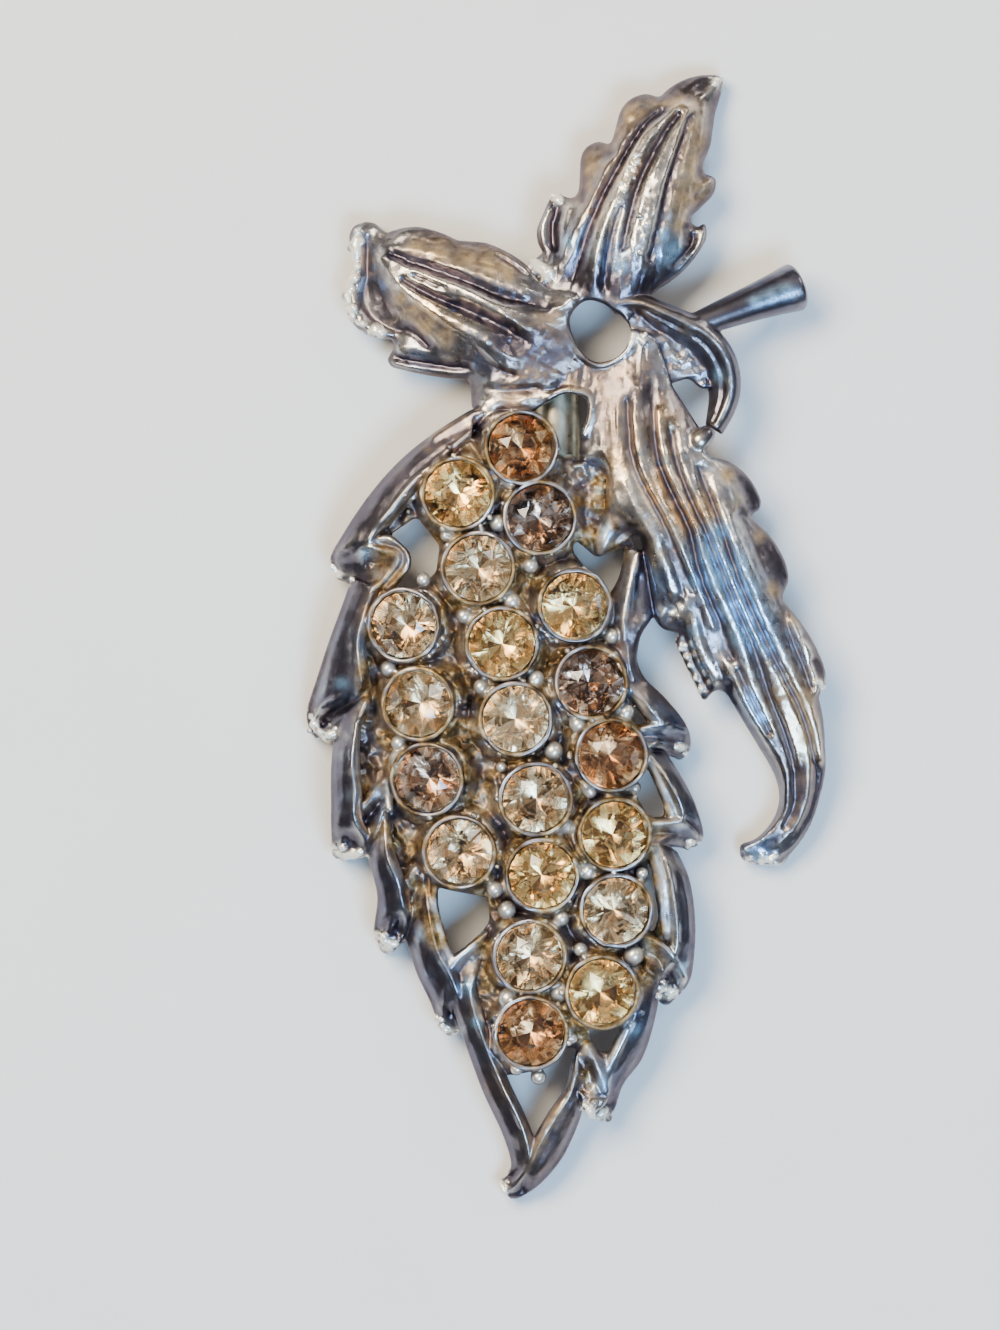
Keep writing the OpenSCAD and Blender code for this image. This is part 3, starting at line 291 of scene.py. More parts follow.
LEFT_CURVES = [
    # main upper rib, and the eye of two fine ribs below its tip
    ("r", [(-10.4, 21.3, 2.75), (-9.6, 20.9, 3.15), (-8.7, 20.5, 3.55), (-7.6, 20.05, 4),
     (-6.5, 19.6, 4.4), (-5.5, 19.15, 4.65), (-4.5, 18.65, 4.8), (-3.5, 18.1, 4.85), (-2.5, 17.45, 4.8),
     (-1.5, 16.9, 4.7)]),
    ("f", [(-8.6, 20.25, 3.35), (-7.7, 19.85, 3.75), (-6.8, 19.45, 4.1)]),
    ("r", [(-8.9, 20.15, 3.45), (-8, 19.7, 3.85), (-7.1, 19.3, 4.1), (-6.2, 18.95, 4.3)]),
    # dark furrow, then the broad lower rib
    ("f", [(-9.2, 20, 3.05), (-8.2, 19.4, 3.4), (-7.2, 18.9, 3.7), (-6.2, 18.45, 3.9), (-5.2, 18, 4.1),
     (-4.2, 17.5, 4.25), (-3.2, 17, 4.35), (-2.2, 16.5, 4.4)]),
    ("f", [(-6.1, 18.66, 3.95), (-5.1, 18.2, 4.13), (-4.1, 17.72, 4.28), (-3.1, 17.22, 4.38)]),
    ("r", [(-9.8, 20.4, 3.1), (-9, 19.4, 3.6), (-8.1, 18.6, 4), (-7.1, 17.9, 4.35), (-6.1, 17.3, 4.55),
     (-5.1, 16.75, 4.65), (-4.2, 16.15, 4.65), (-3.3, 15.5, 4.6)]),
    # dark furrow above the main rib, fine crest above that
    ("f", [(-9.8, 21.4, 2.55), (-9, 21.15, 2.85), (-8, 20.85, 3.2), (-7, 20.5, 3.5), (-6, 20.15, 3.78),
     (-5, 19.75, 3.98), (-4, 19.3, 4.1), (-3, 18.95, 4.15), (-2, 18.6, 4.15), (-1, 18.3, 4.2)]),
    ("f", [(-9, 20.95, 2.88), (-8, 20.63, 3.23), (-7, 20.28, 3.54), (-6, 19.93, 3.82), (-5, 19.52, 4.02),
     (-4, 19.07, 4.14), (-3, 18.7, 4.19)]),
    ("r", [(-7.3, 21, 3.6), (-6, 20.65, 3.95), (-5, 20.3, 4.05), (-4.2, 20, 4.12), (-3.3, 19.7, 4.15),
     (-2.2, 19.3, 4.15)]),
    # golden upper flank
    ("r", [(-9.5, 21.8, 2.75), (-8.5, 21.7, 3.05), (-7, 21.5, 3.4), (-5.5, 21.25, 3.6), (-4, 20.9, 3.7),
     (-3, 20.5, 3.75)]),
    # rim of the upper edge, with the fold near its lobe
    ("r", [(-9.6, 22.2, 2.5), (-8.9, 22.35, 2.55), (-8.2, 22.3, 2.7), (-7.4, 22.1, 2.9), (-6.2, 21.95, 3),
     (-4.8, 21.8, 3.1)]),
    ("p", [(-9.4, 22.6, 2.5), (-8.4, 22.75, 2.55), (-7.6, 22.55, 2.6)]),
    ("r", [(-4.3, 21.7, 3.2), (-3.2, 21.1, 3.3), (-2.2, 20.4, 3.45), (-1.4, 19.8, 3.6)]),
    ("f", [(-3.9, 21.3, 3.15), (-3, 20.8, 3.25), (-2.2, 20.2, 3.4)]),
    # raised rough rim at the tip
    ("r", [(-11.6, 22.9, 1.75), (-11.75, 22, 1.8), (-11.6, 21, 1.85), (-11.75, 20.2, 1.9),
     (-12, 19.3, 1.85), (-11.95, 18.4, 1.9), (-11.4, 17.5, 2), (-10.6, 17.05, 2.15), (-9.9, 16.9, 2.3)]),
    ("f", [(-11.2, 22.3, 1.5), (-11.15, 21.2, 1.55), (-11.2, 20.2, 1.6), (-11.4, 19.3, 1.55),
     (-11.3, 18.5, 1.6), (-10.8, 17.8, 1.75), (-10, 17.35, 2), (-9.2, 17.15, 2.2)]),
    # grey hollow below the ribs, crease beside the lower lobe
    ("f", [(-10.5, 19.8, 2.1), (-10.3, 18.9, 2.1), (-9.9, 18.1, 2.25)]),
    ("p", [(-9.6, 18.7, 2.75), (-9, 18, 3), (-8.2, 17.2, 3.25), (-7.6, 16.5, 3.3), (-7.1, 15.95, 3.35)]),
    ("r", [(-8.9, 18.7, 3.25), (-8.3, 18, 3.45), (-7.6, 17.2, 3.6), (-6.8, 16.5, 3.7), (-6, 16.1, 3.8)]),
    ("f", [(-9, 17.4, 2.5), (-8.3, 16.9, 2.7), (-7.7, 16.2, 2.8)]),
    # lower lobe: face, dark band, lip
    ("r", [(-9.4, 16.2, 2.5), (-8.6, 16.1, 2.75), (-7.6, 15.85, 3), (-6.6, 15.75, 3.3), (-5.6, 15.7, 3.6)]),
    ("f", [(-9.6, 15.6, 2.15), (-8.6, 15.4, 2.3), (-7.4, 15.25, 2.5), (-6.4, 15.1, 2.7), (-5.4, 15.1, 3)]),
    ("r", [(-9.7, 15.3, 2.3), (-8.6, 15.1, 2.45), (-7.4, 14.9, 2.6), (-6.4, 14.75, 2.75),
     (-5.6, 14.7, 2.9)]),
    # ribs that run to the ring
    ("r", [(-5.4, 16.35, 4.2), (-4.6, 15.95, 4.35), (-4, 15.4, 4.4), (-3.3, 15, 4.3)]),
    ("f", [(-5, 16, 3.95), (-4.4, 15.5, 4.05), (-3.8, 15, 4.1), (-3, 14.6, 4.1)]),
    ("r", [(-3.2, 16.3, 4.3), (-2.4, 15.7, 4.4), (-1.6, 15.2, 4.35)]),
    ("r", [(-4.3, 14.3, 3.9), (-3, 14.2, 4.2), (-1.9, 14.35, 4.35), (-1, 14.2, 4.35)]),
    ("f", [(-4.6, 13.8, 3.75), (-3.2, 13.75, 3.95), (-1.6, 13.9, 4)]),
    ("r", [(-4.6, 13.1, 4), (-3.4, 13, 4.1), (-2.2, 13, 4.15), (-1.2, 13.5, 4.2)]),
    ("r", [(-1.2, 18.2, 4.4), (-0.3, 18.3, 4.45), (0.3, 18.9, 4.4)]),
    ("r", [(-1.3, 16.9, 4.5), (-0.5, 16.2, 4.4), (0.2, 15.4, 4.3)])]

LONG_CURVES = [
    # left flank: lit face up to its soft crest
    ("p", [(2, 10.6, 4.45), (2.2, 9.9, 4.6), (2.4, 9.2, 4.64), (2.55, 8.2, 4.68), (2.85, 7.4, 4.7),
     (3.3, 6.75, 4.68), (3.9, 6.2, 4.66), (4.25, 5.3, 4.6), (4.5, 4.3, 4.5), (4.85, 3.2, 4.38),
     (5.2, 2.2, 4.2)]),
    ("r", [(3, 13.4, 4.6), (2.95, 12, 4.7), (3, 10.6, 4.8), (3.15, 9.4, 4.9), (3.4, 8.3, 4.97),
     (3.85, 7.3, 5), (4.4, 6.3, 5), (4.85, 5.3, 4.95), (5.25, 4.3, 4.85), (5.65, 3.3, 4.7), (6, 2.4, 4.5)]),
    ("p", [(2.6, 15, 4.3), (2.4, 13.8, 4.45), (2.2, 12.6, 4.5), (2.1, 11.5, 4.5), (2.1, 10.8, 4.5)]),
    ("f", [(5.5, 5.2, 4.85), (5.85, 4.2, 4.75), (6.2, 3.2, 4.6), (6.5, 2.4, 4.4)]),
    # fine furrow, rib a
    ("f", [(3.45, 13.2, 4.5), (3.45, 11.8, 4.55), (3.55, 10.5, 4.65), (3.85, 9.4, 4.75), (4.3, 8.4, 4.8),
     (4.85, 7.4, 4.85), (5.4, 6.4, 4.85), (5.85, 5.5, 4.8), (6.25, 4.5, 4.72), (6.65, 3.5, 4.62),
     (7.1, 2.5, 4.45)]),
    ("r", [(3.8, 14.2, 4.65), (3.8, 12.8, 4.8), (3.85, 11.5, 4.95), (4.05, 10.2, 5.05), (4.45, 9, 5.12),
     (4.95, 7.9, 5.17), (5.55, 6.7, 5.2), (6.1, 5.5, 5.15), (6.45, 4.6, 5.07), (6.85, 3.7, 4.95),
     (7.25, 2.7, 4.78), (7.7, 1.6, 4.55), (8.2, 0.5, 4.3)]),
    # main dark furrow, rib b that runs on into the tail
    ("f", [(4.7, 14.2, 4.3), (4.85, 13, 4.45), (4.9, 11.8, 4.55), (5, 10.6, 4.58), (5.25, 9.5, 4.58),
     (5.7, 8.4, 4.6), (6.25, 7.3, 4.62), (6.75, 6.3, 4.62), (7.05, 5.3, 4.6), (7.25, 4.3, 4.55),
     (7.55, 3.2, 4.47), (8, 2, 4.35), (8.55, 0.8, 4.15), (9, -0.4, 3.95), (9.35, -1.3, 3.85)]),
    ("r", [(5.1, 12.6, 4.75), (5.2, 11.4, 4.9), (5.4, 10.2, 5.02), (5.75, 9.1, 5.12), (6.2, 8.1, 5.18),
     (6.75, 7, 5.22), (7.2, 6, 5.22), (7.5, 5, 5.2), (7.8, 4, 5.1), (8.2, 2.9, 4.98), (8.7, 1.8, 4.82),
     (9.25, 0.6, 4.62), (9.7, -0.5, 4.4), (10.05, -1.6, 4.22), (10.45, -2.8, 4.05), (11, -4, 3.8),
     (11.6, -5.3, 3.5), (12.15, -6.7, 3.15), (12.45, -8.1, 2.8), (12.4, -9.4, 2.45), (11.8, -10.6, 2.1),
     (10.9, -11.4, 1.85)]),
    # furrow, low rib c that widens in the tail
    ("f", [(5.85, 11.4, 4.5), (6, 10.2, 4.6), (6.35, 9, 4.7), (6.75, 8, 4.75), (7.2, 7, 4.77),
     (7.7, 6, 4.77), (8.1, 5, 4.73), (8.5, 4, 4.65), (8.9, 3, 4.55), (9.35, 1.9, 4.4), (9.8, 0.9, 4.22),
     (10.3, -0.2, 4.05), (10.75, -1.4, 3.9), (11.1, -2.6, 3.75), (11.6, -3.9, 3.5), (12.15, -5.2, 3.2),
     (12.6, -6.6, 2.9), (12.8, -8, 2.6), (12.75, -9.4, 2.25), (12.2, -10.7, 1.9)]),
    ("r", [(6.2, 11.6, 4.65), (6.5, 10.2, 4.8), (6.85, 9, 4.92), (7.25, 8, 4.98), (7.65, 7, 5.02),
     (8.1, 6, 5.02), (8.5, 5, 4.97), (8.9, 4, 4.88), (9.3, 3, 4.78), (9.75, 1.9, 4.62), (10.2, 0.9, 4.45),
     (10.7, -0.3, 4.27), (11.3, -1.5, 4.15), (11.95, -2.7, 4.02), (12.6, -3.9, 3.78), (13.15, -5.1, 3.5),
     (13.5, -6.4, 3.2), (13.65, -7.8, 2.85), (13.5, -9.2, 2.5), (12.95, -10.6, 2.1), (11.9, -11.7, 1.8)]),
    # second edges of the tail's flat ribs
    ("r", [(11.45, -2.4, 4), (11.95, -3.9, 3.77), (12.45, -5.2, 3.5), (12.87, -6.4, 3.19),
     (13.12, -7.2, 2.95)]),
    ("r", [(12.5, -1.8, 4.08), (12.75, -2.6, 3.94), (13.2, -3.7, 3.72), (13.65, -5, 3.42),
     (14, -6.4, 3.08)]),
    # furrow, rib d
    ("f", [(7.4, 9.4, 4.45), (7.75, 8.4, 4.5), (8.15, 7.4, 4.53), (8.55, 6.3, 4.53), (8.9, 5.2, 4.5),
     (9.25, 4.2, 4.45), (9.65, 3.1, 4.38), (10.1, 2, 4.25), (10.6, 0.9, 4.1), (11.1, -0.2, 3.97),
     (11.7, -1.4, 3.85), (12.3, -2.6, 3.68), (12.9, -3.7, 3.45), (13.4, -5, 3.15), (13.75, -6.4, 2.88),
     (13.9, -7.8, 2.5), (13.75, -9.4, 2.1), (13.2, -10.7, 1.75)]),
    ("r", [(8, 9, 4.6), (8.35, 8, 4.75), (8.75, 7, 4.87), (9.1, 6, 4.95), (9.45, 5, 4.97), (9.8, 4, 4.93),
     (10.2, 3, 4.83), (10.65, 1.9, 4.65), (11.15, 0.8, 4.48), (11.7, -0.4, 4.3), (12.3, -1.6, 4.12),
     (13, -2.9, 3.9), (13.7, -4.3, 3.6), (14.15, -5.8, 3.25), (14.3, -7, 2.95)]),
    # furrow beside the right flank, crests of its lobes
    ("f", [(9.6, 6.9, 4.2), (10.1, 6, 4.15), (10.6, 5, 4.12), (11, 4, 4.07), (11.5, 3, 4), (12, 1.8, 3.9),
     (12.4, 0.6, 3.8), (12.8, -0.6, 3.7), (13.2, -1.6, 3.6), (13.7, -3, 3.4)]),
    ("r", [(7, 11, 4.45), (7.5, 10.35, 4.6), (8.2, 9.75, 4.58), (8.9, 8.9, 4.52), (9.2, 8, 4.5),
     (9.35, 7.2, 4.45)]),
    ("r", [(12.5, 1, 4.05), (13, 0, 4), (13.5, -1, 3.85), (13.9, -2.2, 3.65), (14.15, -3.4, 3.45)]),
    # right lobes
    ("p", [(9.4, 9.1, 4), (10.1, 8.2, 3.7), (10.3, 7.5, 3.55)]),
    ("p", [(9.9, 6.9, 4), (10.3, 6.6, 3.8)]),
    ("p", [(11.2, 4.6, 3.9), (11.8, 3.9, 3.6), (12.05, 3.3, 3.5)]),
    ("p", [(13.2, 0.1, 3.7), (13.7, -0.5, 3.6)]),
    ("p", [(13.7, -1.4, 3.3), (14.1, -2.3, 3.3)]),
    # lobe A and its hollow
    ("r", [(2.1, 10.3, 4.4), (1.6, 10.2, 4.25), (1.1, 9.95, 4)]),
    ("f", [(1.9, 9.6, 3.7), (1.3, 9.9, 3.6)]),
    # lobe B: raised rim, blue hollow
    ("r", [(2.9, 6.9, 4.2), (2.6, 6.3, 4), (2.3, 5.6, 3.9), (2, 5, 3.8)]),
    ("f", [(3.9, 6.15, 4.3), (3.3, 5.9, 3.75), (2.7, 5.4, 3.55)]),
    ("p", [(3.3, 6.6, 4.35), (3, 6.2, 4.15)]),
    ("p", [(4.15, 5.6, 4.2), (4.4, 4.6, 4.1), (4.65, 3.4, 4), (4.9, 2.2, 3.9), (5.1, 1.2, 3.8)]),
    # lobe C: fold with a hollow
    ("p", [(5.3, 1.5, 4), (5.1, 0.9, 3.7)]),
    ("f", [(6.35, 2.3, 4.4), (6.1, 1.6, 3.85), (5.8, 1, 3.6)]),
    ("r", [(6.8, 2.3, 4.5), (6.6, 1.4, 4.3), (6.3, 0.9, 3.9)]),
    ("p", [(6.2, 0.55, 3.5), (5.6, 0.6, 3.4)]),
    # lobe D: bright rim, then the dark flap beside it
    ("r", [(6.95, 1.2, 4.35), (7.05, 0.4, 4.3), (7.2, -0.5, 4.2), (7.6, -1.4, 4), (8.1, -2.2, 3.8),
     (8.3, -2.6, 3.6)]),
    ("p", [(7.4, 1.5, 4.35), (7.6, 0.6, 4.2), (7.9, -0.4, 4.05), (8.3, -1.4, 3.95), (8.7, -2.2, 3.85)]),
    ("r", [(6.25, -0.1, 3), (6.6, -0.95, 2.88), (7.05, -2, 2.76), (7.65, -3.3, 2.6)]),
    ("f", [(6.6, 0.1, 3.1), (6.85, -0.6, 2.98), (7.2, -1.5, 2.88), (7.6, -2.3, 2.78), (7.9, -3, 2.68)]),
    # inner crest of the tail, then its side falls away
    ("r", [(9.1, -1.6, 4.1), (9.4, -2.5, 4.1), (9.8, -3.5, 4), (10.5, -4.7, 3.75), (11.3, -5.9, 3.45),
     (12, -7.1, 3.1), (12.3, -8.3, 2.8), (12.3, -9.5, 2.45), (11.85, -10.5, 2.15), (11.1, -11.2, 1.9),
     (10.3, -11.75, 1.65)]),
    ("f", [(9.65, -1.9, 3.9), (10.1, -3, 3.8), (10.75, -4.3, 3.52), (11.4, -5.5, 3.25)]),
    ("f", [(9.1, -2.6, 3.4), (9.6, -3.8, 3.1), (10.4, -5.2, 2.8), (11.2, -6.5, 2.5), (11.8, -7.7, 2.2),
     (12, -8.9, 1.9), (11.85, -9.9, 1.7)]),
    # curl at the foot
    ("r", [(9.9, -12, 1.55), (10.7, -12.3, 1.45), (11.7, -12.2, 1.5), (12.6, -11.6, 1.6),
     (13.4, -10.4, 1.85)]),
    ("p", [(10.2, -12.6, 1.2), (11, -12.85, 1.15), (11.9, -12.7, 1.15)])]

# Route of the tendril's ridge: x, y, height
TENDRIL = [
    (2.6, 18.5, 4.45), (4, 18.55, 4.6), (5.3, 18.1, 4.65), (6.5, 17.6, 4.65), (7.6, 17.05, 4.6),
    (8.4, 16.3, 4.5), (8.95, 15.3, 4.35), (9.15, 14.2, 4.2), (9, 13.2, 4.1), (8.6, 12.3, 4.1),
    (8.15, 11.6, 4.15)]

# Stem: x, y, height of the middle, radius. Its end is cut square to its axis, which runs from root to end.
STEM = [
    (6.9, 17.3, 3.9, 0.62), (8.3, 17.85, 3.45, 0.8), (10.4, 18.68, 2.76, 1.02), (11.8, 19.22, 2.3, 1.2),
    (12.9, 19.64, 1.93, 1.38), (13.4, 19.85, 1.8, 1.42)]
STEM_ROOT = (6.9, 17.3, 3.9)
STEM_END = (12.85, 19.62, 1.95)
STEM_CUT = (12.95, 19.66, 1.92)

# Small knobs where the tendril ends: x, y, height, radius
KNOBS = [(7.45, 10.95, 4.35, 0.6), (7.8, 11.3, 4.3, 0.5)]

# Root of the first tooth: x, y, height, radius
TOOTH_ROOT = [
    (-4.2, 12.7, 3.7, 0.35), (-5.2, 12.3, 3.65, 0.4), (-6.2, 11.75, 3.6, 0.36), (-7.3, 11.1, 3.5, 0.28)]

# Undersides of the tips that rest on the table: x, y
FEET = [
    (11.95, -12.4), (-3.3, -30.8), (-13.3, -5.6), (-12.5, -12.2), (-10.1, -17.4), (5.6, -20.3), (6.4, -6.5)]

# Rims of the openings: route in x, y and height, radius
RIMS = [
    ([(-0.2, 18.2, 4.2), (0.15, 16.9, 4.35), (0.7, 15.8, 4.35), (1.6, 15.2, 4.35), (2.6, 15.35, 4.35),
     (3.4, 16, 4.35), (3.75, 16.9, 4.3)], 0.15),
    ([(-1, 13.4, 4.2), (0, 13.75, 4.3), (1.2, 13.45, 4.3), (1.35, 12.4, 4.3), (1, 11.3, 4.2)], 0.2),
    ([(-2.6, 12.4, 3.9), (-1.8, 12.9, 4), (-1, 13.4, 4.2)], 0.25),
    ([(-8.3, 8, 4), (-9, 7.3, 3.95), (-9.9, 6.4, 3.9)], 0.13),
    ([(-7.4, -13.6, 3.7), (-7.35, -15.2, 3.7), (-6.8, -17.2, 3.7), (-6.3, -18.3, 3.7)], 0.22),
    ([(3.2, -2.4, 3.7), (4.2, -3.6, 3.7), (5, -4.8, 3.6)], 0.24),
    ([(4.3, -6.5, 3.7), (5.2, -8.1, 3.7), (5.8, -9.7, 3.6)], 0.22),
    ([(4.8, -11.8, 3.7), (5.35, -13.5, 3.7), (5.5, -15.5, 3.6), (5.6, -16.8, 3.4)], 0.22),
    ([(1.2, -22.9, 3.5), (1.9, -24.4, 3.3), (2.15, -25.4, 3)], 0.3),
    ([(3.4, -21.6, 3.6), (2.9, -22.9, 3.4), (2.2, -24.6, 3.1)], 0.25)]

# Rough grains at the tips and on worn ribs: route in x and y, how many, radius
GRAINS = [
    ([(-11.5, 22.8), (-11.8, 21.9), (-11.8, 21), (-12, 20.2), (-12.15, 19.3), (-12.15, 18.4),
     (-11.5, 17.5), (-10.3, 17)], 46, 0.24),
    ([(-1.8, 20.9), (-1.3, 20.5), (-0.9, 20.1)], 12, 0.28),
    ([(-0.9, 24.6), (-0.5, 24.7), (-0.3, 24.3)], 10, 0.17),
    ([(8.3, 31.3), (8.7, 31.1)], 6, 0.15),
    ([(-13.1, 3.9), (-12.8, 3.4), (-12.2, 3.3)], 12, 0.14),
    ([(-14.3, -4.4), (-14.1, -5.3), (-13.5, -5.7), (-13, -5.2)], 22, 0.17),
    ([(-12.9, -11.9), (-12.3, -12.3), (-11.4, -12.2)], 26, 0.18),
    ([(-10.5, -16.7), (-10.1, -17.3), (-9.5, -17.4)], 18, 0.19),
    ([(-7.2, -21.2), (-6.8, -22.1), (-6.3, -22.3)], 16, 0.17),
    ([(-3.6, -30.3), (-3.7, -30.9), (-3.3, -31.3)], 10, 0.14),
    ([(6.3, -6.2), (6.7, -6.6)], 8, 0.15),
    ([(6.5, -11.5), (7.3, -11.5)], 10, 0.15),
    ([(5.4, -20), (6.2, -19.9)], 18, 0.18),
    ([(1, -26.3), (1.6, -26.9), (2.2, -26.6)], 26, 0.2),
    ([(10, -12.4), (11, -12.7), (11.9, -12.6)], 14, 0.14),
    ([(14.1, -2.4), (14.3, -2.8)], 6, 0.15),
    ([(3.3, 16.9), (3.9, 16.5), (4.4, 16.9)], 8, 0.16),
    ([(5.2, 1.5), (6.4, 1.5)], 5, 0.17),
    ([(6.3, -0.3), (6.9, -1.6), (7.6, -3.1)], 12, 0.13),
    ([(3.9, 27), (3.35, 25.6), (2.8, 24.3), (2.4, 23.2)], 30, 0.1),
    ([(4.6, 23.4), (4.2, 22.4), (3.9, 21.6)], 10, 0.1)]


# Sculpting on a grid: distance to the casting's surface, and height of its face in plan
rng = np.random.default_rng(SEED)
field = np.full(SHAPE, 1.0, np.float32)
crown = np.full(SHAPE[:2], -1.0)


def spline(rows, step=0.08):
    """Smooth curve through rows of any width, with a point about every step."""
    p = np.array(rows, float)
    p = np.vstack([2 * p[0] - p[1], p, 2 * p[-1] - p[-2]])
    out = []
    for a, b, c, d in zip(p, p[1:], p[2:], p[3:]):
        n = max(2, int(np.linalg.norm(c[:2] - b[:2]) / step))
        t = (np.arange(n) / n)[:, None]
        out.append(0.5 * (2 * b + (c - a) * t + (2 * a - 5 * b + 4 * c - d) * t ** 2
                          + (3 * b - a - 3 * c + d) * t ** 3))
    out.append(p[-2][None])
    return np.vstack(out)


def route(rows, step=0.08, count=12):
    """Smooth curve through rows, or a straight one of so many points where there are two rows alone."""
    return spline(rows, step) if len(rows) > 2 else np.linspace(rows[0], rows[-1], count)


def closed_run(rows, step, least):
    """Points about one step apart, straight from row to row and back to the first."""
    rows = np.asarray(rows, float)
    out = []
    for a, b in zip(rows, np.roll(rows, -1, 0)):
        n = max(least, int(np.linalg.norm(b[:2] - a[:2]) / step))
        out.append(a + (b - a) * (np.arange(n) / n)[:, None])
    return np.vstack(out)


def outline(rows, steps=8):
    """Points of an outline, from rows of x, y and swell."""
    points = []
    for a, b in zip(rows, list(rows[1:]) + [rows[0]]):
        run = np.array([b[0] - a[0], b[1] - a[1]])
        out = np.array([run[1], -run[0]]) / np.linalg.norm(run)
        swell = a[2] if len(a) > 2 else 0
        n = steps if swell else 1
        for k in range(n):
            t = k / n
            points.append(np.array(a[:2]) + run * t + out * 4 * swell * t * (1 - t))
    return np.array(points)


def soften(poly, cut=0.22, rounds=2):
    """Cuts the corners of a closed outline, each by no more than cut."""
    for _ in range(rounds):
        step = np.roll(poly, -1, 0) - poly
        size = np.linalg.norm(step, axis=1, keepdims=True)
        share = np.minimum(0.25, cut / np.maximum(size, 1e-9))
        first, last = poly + step * share, poly + step * (1 - share)
        poly = np.stack([first, last], 1).reshape(-1, 2)
        cut *= 0.5
    return poly


def window(low, high, margin=0.7):
    """Slices of the grid that cover a box in x and y."""
    a = [max(0, int((low[k] - margin - LOW[k]) / PITCH)) for k in (0, 1)]
    b = [min(SHAPE[k], int((high[k] + margin - LOW[k]) / PITCH) + 2) for k in (0, 1)]
    return slice(a[0], b[0]), slice(a[1], b[1])


def plan(win):
    """x and y of the cells in a window."""
    return np.meshgrid(GX[win[0]], GY[win[1]], indexing="ij")


def cells(win):
    """x, y and z of the cells in a window."""
    return np.meshgrid(GX[win[0]], GY[win[1]], GZ, indexing="ij")


def poly_distance(poly, X, Y):
    """Signed distance to a closed outline, negative inside."""
    best = np.full(X.shape, 1e9)
    inside = np.zeros(X.shape, bool)
    for (x1, y1), (x2, y2) in zip(poly, np.roll(poly, -1, 0)):
        ex, ey = x2 - x1, y2 - y1
        wx, wy = X - x1, Y - y1
        t = np.clip((wx * ex + wy * ey) / (ex * ex + ey * ey + 1e-12), 0, 1)
        best = np.minimum(best, (wx - ex * t) ** 2 + (wy - ey * t) ** 2)
        crosses = (y1 > Y) != (y2 > Y)
        if ey:
            inside ^= crosses & (X < ex * wy / ey + x1)
    best = np.sqrt(best)
    return np.where(inside, -best, best)


# How the hung height maps are solved: cells in one, rounds of smoothing
HANG_LEVELS = ((16, 60), (8, 50), (4, 40), (2, 30), (1, 30))


def hang(size, corner, rows):
    """Height map that spans fixed curves like a stretched skin, solved from coarse to fine."""
    z = None
    for factor, rounds in HANG_LEVELS:
        n = (size[0] // factor + 2, size[1] // factor + 2)
        ij = ((rows[:, :2] - corner) / (PITCH * factor) + 0.5).astype(int)
        keep = (ij >= 0).all(1) & (ij[:, 0] < n[0]) & (ij[:, 1] < n[1])
        total, count = np.zeros(n), np.zeros(n)
        np.add.at(total, tuple(ij[keep].T), rows[keep, 2])
        np.add.at(count, tuple(ij[keep].T), 1)
        fixed = count > 0
        held = total[fixed] / count[fixed]
        if z is None:
            z = np.full(n, held.mean())
        else:
            z = np.pad(z.repeat(2, 0).repeat(2, 1), 2, mode="edge")[2:n[0] + 2, 2:n[1] + 2]
        z[fixed] = held
        for _ in range(rounds):
            p = np.pad(z, 1, mode="edge")
            z = 0.25 * (p[:-2, 1:-1] + p[2:, 1:-1] + p[1:-1, :-2] + p[1:-1, 2:])
            z[fixed] = held
    return z[:size[0], :size[1]]


def blur(a, sigma):
    """Gaussian blur of a height map, sigma in millimetres."""
    s = sigma / PITCH
    reach = max(1, int(3 * s))
    weights = np.exp(-0.5 * (np.arange(-reach, reach + 1) / s) ** 2)
    weights /= weights.sum()
    for axis in (0, 1):
        pad = [(reach, reach) if k == axis else (0, 0) for k in (0, 1)]
        p = np.pad(a, pad, mode="edge")
        n = a.shape[axis]
        a = sum(w * (p[i:i + n] if axis == 0 else p[:, i:i + n]) for i, w in enumerate(weights))
    return a


def grain(sigma):
    """Seeded noise over the whole plan, of unit strength."""
    a = blur(rng.standard_normal(SHAPE[:2]), sigma)
    return a / a.std()


fine, medium, coarse = grain(0.12), grain(0.3), grain(0.8)


def round_max(a, b, r):
    """Intersection of two distances with an edge of radius r."""
    u, v = np.maximum(a + r, 0), np.maximum(b + r, 0)
    return np.minimum(np.maximum(a, b), -r) + np.sqrt(u * u + v * v)


def smooth_min(a, b, k):
    """Union of two distances with a fillet."""
    h = np.maximum(k - np.abs(a - b), 0) / k
    return np.minimum(a, b) - h * h * k * 0.25


def add(win, distance, fillet):
    """Joins a form to the casting."""
    field[win] = smooth_min(field[win], distance.astype(np.float32), fillet)


def steep(z):
    """How much longer than its plan a sloping height map is."""
    gx, gy = np.gradient(z, PITCH)
    return np.sqrt(1 + gx * gx + gy * gy)


# Softening of a sheet's plain back, and of the faces hung between dense curves
BACK_SOFT = 0.8
FACE_SOFT = 0.07


def sheet(poly, top, thick=0.95, edge_r=0.2, fillet=0.1, cut=(), rough=0.007):
    """Adds a cast sheet with an outline, a face at the given heights and a plain back."""
    win = window(poly.min(0), poly.max(0))
    X, Y = plan(win)
    flat = poly_distance(poly, X, Y)
    for hole in cut:
        flat = np.maximum(flat, -poly_distance(hole, X, Y))
    top = top + rough * (fine[win] + 1.2 * medium[win])
    low = np.maximum(0.0, blur(top, BACK_SOFT) - thick)
    Z = GZ[None, None, :]
    up = (Z - top[..., None]) / steep(top)[..., None]
    down = (low[..., None] - Z) / steep(low)[..., None]
    add(win, round_max(round_max(flat[..., None], up, edge_r), down, edge_r), fillet)
    crown[win] = np.where(flat < 0.02, np.maximum(crown[win], top), crown[win])


